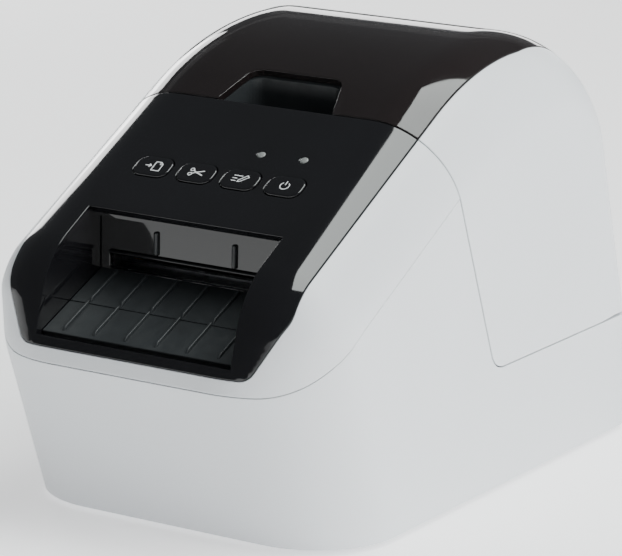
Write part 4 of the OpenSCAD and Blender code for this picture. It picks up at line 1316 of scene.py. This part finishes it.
def foot_spots():
    low, high = node_box("rubber_feet")
    return [(x, y) for x in (low[0] + 6, high[0] - 6) for y in (low[1] + 6, high[1] - 6)]


def board_spots():
    spots = []
    for name in ("main_board", "power_board"):
        low, high = node_box(name)
        spots += [(x, y) for x in (low[0] + 4, high[0] - 4) for y in (low[1] + 4, high[1] - 4)]
    return spots


def make_front_casing():
    z = sizes()
    shapes = front_shapes(z.wall, z.seam_gap, z.seam_roll)
    for x, y in screw_spots():
        if y < 0:
            top = float(seam_z(y)) + 5
            shapes.append(tube((x, y, 0), Z_AXIS, 4, 1.35, 60, top, 0.3, 28))
            side = 1 if x > 0 else -1
            ends = sorted((x + side * 2, side * (HALF_W - 1.6)))
            shapes.append(block((ends[0], y - 1, top - 6), (ends[1], y + 1, top - 1), 0.2))
    return new_piece("front_frame", shapes, finish("casing_white"), "root", ["front_casing"])


def make_fascia():
    z = sizes()
    shapes = fascia_shapes(z.wall, z.seam_gap, z.fascia_roll)
    return new_piece("gloss_fascia", shapes, finish("gloss_black"), "root", ["front_fascia"])


def make_cover():
    z = sizes()
    shapes = cover_shapes(z.wall, z.seam_gap, z.seam_roll)
    hinge_x, _, _ = hinge_notch()
    low, high = node_box("hinge_pins")
    axis_y, axis_z = (low[1] + high[1]) / 2, (low[2] + high[2]) / 2
    for side in (-1, 1):
        for x in (hinge_x - 9, hinge_x + 5.3):
            start = x if side > 0 else -x - 3.7
            shapes.append(tube((start, axis_y, axis_z), X_AXIS, 2.6, 1.55, 0, 3.7, 0.3, 32))
            shapes.append(block((start, axis_y - 2.4, axis_z + 1.6),
                                (start + 3.7, axis_y - 0.7, axis_z + 5), 0.2))
    return new_piece("roll_cover", shapes, finish("casing_white"), "cover", ["cover_shell"])


def make_window():
    z = sizes()
    shapes = window_shapes(z.wall, z.seam_gap, z.window_roll)
    return new_piece("smoked_window", shapes, finish("smoked_window"), "cover",
                     ["cover_window"])


def rib(y_low, y_high, half, height):
    """One raised rib that follows the tray's slope, with a lead-in at its front end."""
    outline = [(y_low, tray_z(y_low) - 0.4), (y_high, tray_z(y_high) - 0.4),
               (y_high, tray_z(y_high) + height),
               (y_low + height, tray_z(y_low + height) + height)]
    return prism_x([np.array(outline)], -half, half, 0.25)


RIB_SPAN = 56.5
RIB_HALF_W = 0.5


def ribs(y_low, y_high):
    z = sizes()
    pitch = RIB_SPAN / (z.rib_count - 1)
    item = rib(y_low, y_high, RIB_HALF_W, z.rib_height)
    return row(item, finish("dark_plastic"), z.rib_count, (-RIB_SPAN / 2, 0, 0), (pitch, 0, 0))


def sloped_plate(y_low, y_high, thickness=2.0, roll=0.3):
    """A plate under the paper path, between two distances from the front."""
    slope = math.radians(TRAY_SLOPE)
    length = (y_high - y_low) / math.cos(slope)
    outline = rectangle(2 * RECESS_HALF_W - 0.2, length, 0.4, (0, length / 2), 3)
    up = (0, math.cos(slope), math.sin(slope))
    return plate([outline], thickness, (0, y_low, tray_z(y_low)), X_AXIS, up, roll)


def make_tray():
    low = node_box("label_tray")[0][1]
    end = TRAY_SPLIT_Y - 0.1
    shapes = [sloped_plate(low, end), ribs(low + 1, end - 0.2)]
    return new_piece("label_tray_top", shapes, finish("dark_plastic"), "root", ["label_tray"])


def make_ramp():
    start = TRAY_SPLIT_Y + 0.1
    roof = node_box("outlet_ramp")[1][2]
    slot_half = node_box("outlet_guide_bar")[1][0]
    slot_low, slot_high = EXIT_Z + 0.3, node_box("outlet_guide_bar")[0][2]
    shapes = [sloped_plate(start, RECESS_REAR_Y + 0.6), ribs(start + 0.2, RECESS_REAR_Y - 1.5)]
    wall = rectangle(2 * RECESS_HALF_W - 0.2, roof - EXIT_Z + 2, 0.4, (0, (roof + EXIT_Z - 2) / 2), 3)
    slot = rectangle(2 * slot_half, slot_high - slot_low, 0.8, (0, (slot_low + slot_high) / 2), 4)
    face = plate([wall, slot], 2, (0, RECESS_REAR_Y, 0), X_AXIS, Z_AXIS, 0.25)
    new_piece("outlet_wall", [face], finish("gloss_black"), "root")
    back = node_box("outlet_ramp")[1][1]
    shapes.append(block((-slot_half, RECESS_REAR_Y + 1.8, slot_low - 1.3), (slot_half, back, slot_low), 0.3))
    for x in (-14.4, 14.4):
        shapes.append(tube((x, RECESS_REAR_Y - 0.2, 0), Z_AXIS, 0.9, 0, slot_high + 1.3, roof - 3.8, 0.5, 24))
    return new_piece("outlet_ramp_top", shapes, finish("dark_plastic"), "root",
                     ["outlet_ramp"])


def make_guide_bar():
    low, high = node_box("outlet_guide_bar")
    centre = (low + high) / 2
    bar = tube((centre[0], high[1] - 0.7, centre[2]), X_AXIS, 0.62, 0, low[0], high[0], 0.3, 24)
    lip = block((low[0], high[1] - 0.8, low[2]), (high[0], high[1], high[2] - 0.05), 0.15)
    return new_piece("outlet_bar", [bar, lip], finish("gloss_black"), "root",
                     ["outlet_guide_bar"])


KEY_PROUD = 0.5
KEY_FLANGE_DEPTH = 2.7
PANEL_UP = np.array([0, *heading(PANEL_SLOPE)])
PANEL_OUT = np.cross(X_AXIS, PANEL_UP)


def key_origin(name):
    return np.array([middle(name)[0], *on_panel(BUTTON_ALONG)])


def make_key(name, body):
    """A key: its cap, the flange that holds it in and the stem that presses its switch."""
    z = sizes()
    origin = key_origin(name)
    cap = rectangle(*BUTTON_SIZE, BUTTON_R, (0, 0), 12)
    flange = rectangle(BUTTON_SIZE[0] + 2.4, BUTTON_SIZE[1] + 2.4, BUTTON_R + 1.2, (0, 0), 10)

    def on(lift):
        return origin + PANEL_OUT * lift

    shapes = [plate([resample(cap, 0.7, True)], KEY_PROUD + KEY_FLANGE_DEPTH, on(KEY_PROUD), X_AXIS, PANEL_UP,
                    z.key_roll, 0.1, 1.2),
              plate([flange], 1.0, on(-KEY_FLANGE_DEPTH), X_AXIS, PANEL_UP, 0.2),
              tube(origin, -PANEL_OUT, 2, 0, KEY_FLANGE_DEPTH + 0.9, KEY_FLANGE_DEPTH + 1.6, 0.25, 28)]
    new_piece(name + "_cap", shapes, finish("gloss_black"), body, [name])
    signs = [plate([outline, *holes], 0.06, on(KEY_PROUD + 0.03 + lift), X_AXIS, PANEL_UP, 0.01, 0.01)
             for outline, holes, lift in key_sign(name)]
    return new_piece(name + "_sign", signs, finish("mark"), body, merge=0)


def stroke(points, width, closed=False):
    """The outline of a line of that width, and its hole when the line is closed."""
    points = np.array(points, float)
    if closed:
        if area(points) < 0:
            points = points[::-1]
        moves = miters(points, np.ones(len(points), bool)) * width / 2
        return points - moves, [points + moves]
    ahead = np.diff(points, axis=0)
    ahead /= np.linalg.norm(ahead, axis=1)[:, None]
    left = np.column_stack([-ahead[:, 1], ahead[:, 0]])
    bends = [(a + b) / (1 + a @ b) for a, b in zip(left, left[1:])]
    moves = np.vstack([left[:1], *bends, left[-1:]]) * width / 2
    return np.vstack([points + moves, (points - moves)[::-1]]), []


def bow(radius, start, end, centre=(0, 0), count=28):
    angles = np.radians(np.linspace(start, end, count))
    return np.column_stack([centre[0] + radius * np.cos(angles), centre[1] + radius * np.sin(angles)])


def key_sign(name):
    """Outlines, holes and lift of the flat shapes that make a key's sign."""
    line = 0.34
    if name == "feed_button":
        page = [(0.2, -2), (3, -2), (3, 1.1), (2.1, 2), (0.2, 2)]
        fold = stroke([(2.0, 1.85), (2.0, 1.0), (2.85, 1.0)], 0.26)
        shaft = (np.array([(-2.9, -0.17), (-1.4, -0.17), (-1.4, 0.17), (-2.9, 0.17)]), [])
        tip = (np.array([(-1.5, -0.85), (-0.4, 0), (-1.5, 0.85)]), [])
        return [(*stroke(page, line, True), 0), (*fold, 0.012), (*shaft, 0), (*tip, 0.012)]
    if name == "cut_button":
        rings = [(ring(0.78, c, 24), [ring(0.45, c, 24)], 0) for c in ((-1.9, 1.05), (-1.9, -1.05))]
        blades = [(*stroke([(-1.25, s * 0.7), (0.1, -s * 0.1), (2.6, -s * 1.05)], 0.42), 0.012 + 0.006 * s)
                  for s in (1, -1)]
        return rings + blades
    if name == "editor_button":
        lines = [(*stroke([(-2.9, y), (x, y)], line), 0) for y, x in ((1.4, 0.3), (0.2, -1.2), (-1.0, -1.2))]
        pencil = [(-0.5, -1.3), (0.35, -1.1), (2.6, 1.2), (1.9, 1.9), (-0.35, -0.4)]
        return [(*stroke(pencil, 0.3, True), 0)] + lines
    return [(*stroke(bow(1.55, 125, 415), line), 0), (*stroke([(0, 0.35), (0, 2.1)], line), 0.012)]


def make_lens(name):
    """The domed outer end of a light pipe, with its rod down to the lamp board."""
    low, high = node_box(name)
    x, along = lens_spot(name)
    origin = np.array([x, *on_panel(along)])
    deep = (high[2] - low[2]) / PANEL_OUT[2] * 0.8
    profile = [(1.4, -deep), (1.4, -0.15), (1.3, -0.02), (1.05, 0.08), (0.7, 0.14), (0.3, 0.165),
               (0.05, 0.17)]
    shape = turned(profile, origin, PANEL_OUT, 32)
    return new_piece(name + "_dome", [shape], finish("lens"), "root", [name])


def make_feet():
    spots = foot_spots()
    top = node_box("rubber_feet")[1][2]
    profile = [(0.4, 0), (4.9, 0), (5.5, 0.15), (5.86, 0.5), (6, 1), (6, top - 0.2), (5.8, top), (0.4, top)]
    foot = turned(profile, (0, 0, 0), Z_AXIS, 48)
    xs, ys = sorted({x for x, _ in spots}), sorted({y for _, y in spots})
    shapes = [row(foot, finish("rubber"), 2, (xs[0], y, 0), (xs[-1] - xs[0], 0, 0)) for y in (ys[0], ys[-1])]
    return new_piece("feet", shapes, finish("rubber"), "root", ["rubber_feet"])


def make_springs():
    """The two coil springs that press the print head down."""
    low, high = node_box("head_springs")
    radius = (high[1] - low[1]) / 2
    middle_y = (low[1] + high[1]) / 2
    wire = 0.35
    shapes = [coil(finish("steel"), 6, radius - wire, high[2] - low[2] - 2 * wire, wire,
                   (x, middle_y, low[2] + wire)) for x in (low[0] + radius, high[0] - radius)]
    springs = new_piece("head_coils", shapes, finish("steel"), "root", ["head_springs"], merge=0.001)
    pivot = middle("head_pivot_pin")
    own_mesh(springs)
    return springs


# ---- Stage ----
def camera_axes(azimuth, elevation, roll):
    a, e, r = (math.radians(v) for v in (azimuth, elevation, roll))
    back = Vector((math.sin(a) * math.cos(e), -math.cos(a) * math.cos(e), math.sin(e)))
    right = Vector((math.cos(a), math.sin(a), 0))
    up = back.cross(right)
    return (math.cos(r) * right + math.sin(r) * up, math.cos(r) * up - math.sin(r) * right, back)


CAMERA_PLACE = (0.5868, -0.9475, 0.3407)


def add_camera():
    data = bpy.data.cameras.new("camera")
    data.lens = 205.06
    data.sensor_width = 36
    data.clip_end = 20
    camera = bpy.data.objects.new("camera", data)
    columns = camera_axes(31.86, 13.95, 1.02)
    turn = Matrix(columns).transposed().to_4x4()
    camera.matrix_world = Matrix.Translation(CAMERA_PLACE) @ turn
    bpy.context.scene.collection.objects.link(camera)
    bpy.context.scene.camera = camera


def add_light(name, azimuth, elevation, distance, size, power, target=(0, 0, 0.07), colour=(1, 1, 1),
              glints=True):
    """A rectangular soft light that faces the target. One without glints isn't mirrored by gloss."""
    data = bpy.data.lights.new(name, "AREA")
    data.shape = "RECTANGLE"
    data.size, data.size_y = size
    data.energy = power
    data.color = colour
    light = bpy.data.objects.new(name, data)
    a, e = math.radians(azimuth), math.radians(elevation)
    away = Vector((math.sin(a) * math.cos(e), -math.cos(a) * math.cos(e), math.sin(e)))
    light.visible_glossy = glints
    light.location = Vector(target) + away * distance
    light.rotation_euler = away.to_track_quat("Z", "Y").to_euler()
    bpy.context.scene.collection.objects.link(light)


def make_stage():
    z = bpy.context.scene.label_maker_stage
    mesh = bpy.data.meshes.new("floor")
    h = z.floor_size / 2
    low = -0.0001
    mesh.from_pydata([(-h, -h, low), (h, -h, low), (h, h, low), (-h, h, low)], [], [(0, 1, 2, 3)])
    floor = bpy.data.objects.new("floor", mesh)
    bpy.context.scene.collection.objects.link(floor)
    paper = Finish("backdrop_paper", (0.93, 0.93, 0.935), 0.9)
    paper.vary_roughness(paper.noise(30, 2), 0.85, 0.95)
    paper.set("Emission Color", (1, 1, 1, 1))
    paper.set("Emission Strength", z.floor_glow)
    mesh.materials.append(paper.material)
    world = bpy.data.worlds.new("studio")
    bpy.context.scene.world = world
    world.use_nodes = True
    world.node_tree.nodes["Background"].inputs["Color"].default_value = (*z.fill_colour, 1)
    world.node_tree.nodes["Background"].inputs["Strength"].default_value = z.fill
    add_light("shoulder_panel", 118, 68, 1.3, (1.0, 0.85), 21, colour=(0.95, 1.0, 0.98))
    add_light("side_panel", 92, 26, 1.4, (0.8, 0.8), 18, glints=False)
    add_light("key_panel", 5, 58, 1.5, (0.6, 0.4), 0.8, glints=False)
    add_light("left_panel", -126, 14, 1.3, (0.4, 0.5), 3.5)
    add_light("rear_strip", -150, 12, 1.5, (1.4, 0.22), 4)
    add_camera()


# ---- Settings ----
def length(name, description, default, low, high):
    return FloatProperty(name=name, description=description, default=default, min=low, max=high)


def colour(name, description, default):
    return FloatVectorProperty(name=name, description=description, default=default, subtype="COLOR", size=3,
                               min=0, max=1)


class LabelMakerSizes(bpy.types.PropertyGroup):
    """Sizes of the moulded pieces, in millimetres"""

    wall: length("Wall", "Thickness of the moulded walls in millimetres", 2.4, 1.5, 4)
    seam_gap: length("Seam Gap", "Gap between two fixed panels in millimetres", 0.2, 0.02, 0.4)
    seam_roll: length("Seam Edge", "Radius of the panels' rolled edges in millimetres", 0.3, 0.05, 0.8)
    fascia_roll: length("Fascia Edge", "Radius of the fascia's rolled edges in millimetres", 0.3, 0.05, 0.8)
    window_roll: length("Window Edge", "Radius of the window's rolled edges in millimetres", 0.35, 0.05, 0.8)
    key_roll: length("Key Edge", "Radius of the keys' rolled edges in millimetres", 0.5, 0.1, 1.0)
    rib_count: IntProperty(name="Ribs", description="Number of ribs across the label tray", default=6,
                           min=2, max=12)
    rib_height: length("Rib Height", "Height of the tray's ribs in millimetres", 1.2, 0.3, 1.6)


class LabelMakerColours(bpy.types.PropertyGroup):
    """Colours of the moulded pieces"""

    casing: colour("Casing", "Satin plastic of the casing and the cover", (0.74, 0.765, 0.79))
    fascia: colour("Fascia", "Gloss plastic of the fascia and the keys", (0.006, 0.006, 0.007))
    window: colour("Window", "Smoked plastic of the cover's window", (0.012, 0.009, 0.009))
    tray: colour("Tray", "Grained plastic of the label tray", (0.024, 0.027, 0.029))
    mark: colour("Marks", "Printed signs on the keys", (0.78, 0.79, 0.8))


class LabelMakerStage(bpy.types.PropertyGroup):
    """The studio round the label maker"""

    floor_size: FloatProperty(name="Floor", description="Width of the floor", default=8, min=2, max=20,
                              unit="LENGTH")
    floor_glow: FloatProperty(name="Floor Glow", description="Light that the backdrop gives off", default=0.7,
                              min=0, max=3)
    fill: FloatProperty(name="Fill", description="Strength of the light from all round", default=0.12,
                        min=0, max=3)
    fill_colour: colour("Fill Colour", "Colour of the light from all round", (0.9, 0.95, 1.0))


# ---- Operators ----
class PieceOperator:
    """Shared behaviour: runs the piece's own function"""

    bl_options = {"REGISTER", "UNDO"}

    def execute(self, context):
        self.build()
        return {"FINISHED"}


class LABELMAKER_OT_base(PieceOperator, bpy.types.Operator):
    """Builds the base casing with its posts and hinge lugs"""
    bl_idname = "label_maker.base"
    bl_label = "Base Casing"

    def build(self):
        make_base()


class LABELMAKER_OT_front(PieceOperator, bpy.types.Operator):
    """Builds the white frame round the fascia"""
    bl_idname = "label_maker.front_frame"
    bl_label = "Front Frame"

    def build(self):
        make_front_casing()


class LABELMAKER_OT_fascia(PieceOperator, bpy.types.Operator):
    """Builds the gloss fascia with its outlet and key openings"""
    bl_idname = "label_maker.fascia"
    bl_label = "Fascia"

    def build(self):
        make_fascia()


class LABELMAKER_OT_cover(PieceOperator, bpy.types.Operator):
    """Builds the white roll cover with its hinge knuckles"""
    bl_idname = "label_maker.cover"
    bl_label = "Roll Cover"

    def build(self):
        make_cover()


class LABELMAKER_OT_window(PieceOperator, bpy.types.Operator):
    """Builds the smoked window with its finger notch"""
    bl_idname = "label_maker.window"
    bl_label = "Cover Window"

    def build(self):
        make_window()


class LABELMAKER_OT_tray(PieceOperator, bpy.types.Operator):
    """Builds the label tray, the outlet ramp and the bar above the slot"""
    bl_idname = "label_maker.tray"
    bl_label = "Label Tray"

    def build(self):
        make_tray()
        make_ramp()
        make_guide_bar()


class LABELMAKER_OT_keys(PieceOperator, bpy.types.Operator):
    """Builds the four keys with their signs"""
    bl_idname = "label_maker.keys"
    bl_label = "Keys"

    def build(self):
        for name, body in zip(BUTTON_NODES, BUTTON_BODIES):
            make_key(name, body)


class LABELMAKER_OT_lenses(PieceOperator, bpy.types.Operator):
    """Builds the two lamp lenses"""
    bl_idname = "label_maker.lenses"
    bl_label = "Lamp Lenses"

    def build(self):
        make_lens("status_lens")
        make_lens("editor_lens")


class LABELMAKER_OT_feet(PieceOperator, bpy.types.Operator):
    """Builds the four rubber feet"""
    bl_idname = "label_maker.feet"
    bl_label = "Feet"

    def build(self):
        make_feet()


class LABELMAKER_OT_springs(PieceOperator, bpy.types.Operator):
    """Builds the print head's coil springs"""
    bl_idname = "label_maker.springs"
    bl_label = "Head Springs"

    def build(self):
        make_springs()


def paint_nodes():
    """Gives every node of the frame that still shows the finish of its slot."""
    for name, obj in frame["nodes"].items():
        if obj.hide_render:
            continue
        slots = obj.data.materials
        key = node_slot(name)
        if not len(slots):
            slots.append(finish(key))
        for i in range(len(slots)):
            slots[i] = finish(key)


def node_slot(name):
    for material in frame["record"]["materials"]:
        if name in material.get("nodes", []):
            return material["slot"]
    for part in frame["record"].get("subparts", []):
        if part.get("node") == name or part.get("name") == name:
            return part.get("material_slot") or part.get("material") or "dark_plastic"
    return "dark_plastic"


class LABELMAKER_OT_finishes(PieceOperator, bpy.types.Operator):
    """Gives the mechanism's own pieces their finishes"""
    bl_idname = "label_maker.finishes"
    bl_label = "Mechanism Finishes"

    def build(self):
        paint_nodes()


class LABELMAKER_OT_stage(PieceOperator, bpy.types.Operator):
    """Builds the floor, the lights and the camera"""
    bl_idname = "label_maker.stage"
    bl_label = "Studio"

    def build(self):
        make_stage()


OPERATORS = (LABELMAKER_OT_stage, LABELMAKER_OT_base, LABELMAKER_OT_front, LABELMAKER_OT_fascia,
             LABELMAKER_OT_cover, LABELMAKER_OT_window, LABELMAKER_OT_tray, LABELMAKER_OT_keys,
             LABELMAKER_OT_lenses, LABELMAKER_OT_feet, LABELMAKER_OT_springs, LABELMAKER_OT_finishes)


class LABELMAKER_PT_panel(bpy.types.Panel):
    """Lists the pieces of the label maker"""
    bl_idname = "LABELMAKER_PT_panel"
    bl_label = "Label Maker"
    bl_space_type = "VIEW_3D"
    bl_region_type = "UI"
    bl_category = "Label Maker"

    def draw(self, context):
        for operator in OPERATORS:
            self.layout.operator(operator.bl_idname)


CLASSES = (LabelMakerSizes, LabelMakerColours, LabelMakerStage, *OPERATORS, LABELMAKER_PT_panel)


def register():
    for cls in CLASSES:
        bpy.utils.register_class(cls)
    bpy.types.Scene.label_maker_sizes = PointerProperty(type=LabelMakerSizes)
    bpy.types.Scene.label_maker_colours = PointerProperty(type=LabelMakerColours)
    bpy.types.Scene.label_maker_stage = PointerProperty(type=LabelMakerStage)


def unregister():
    del bpy.types.Scene.label_maker_stage
    del bpy.types.Scene.label_maker_colours
    del bpy.types.Scene.label_maker_sizes
    for cls in reversed(CLASSES):
        bpy.utils.unregister_class(cls)


def main():
    register()
    for operator in OPERATORS:
        group, name = operator.bl_idname.split(".")
        getattr(getattr(bpy.ops, group), name)()


if __name__ == "__main__":
    main()
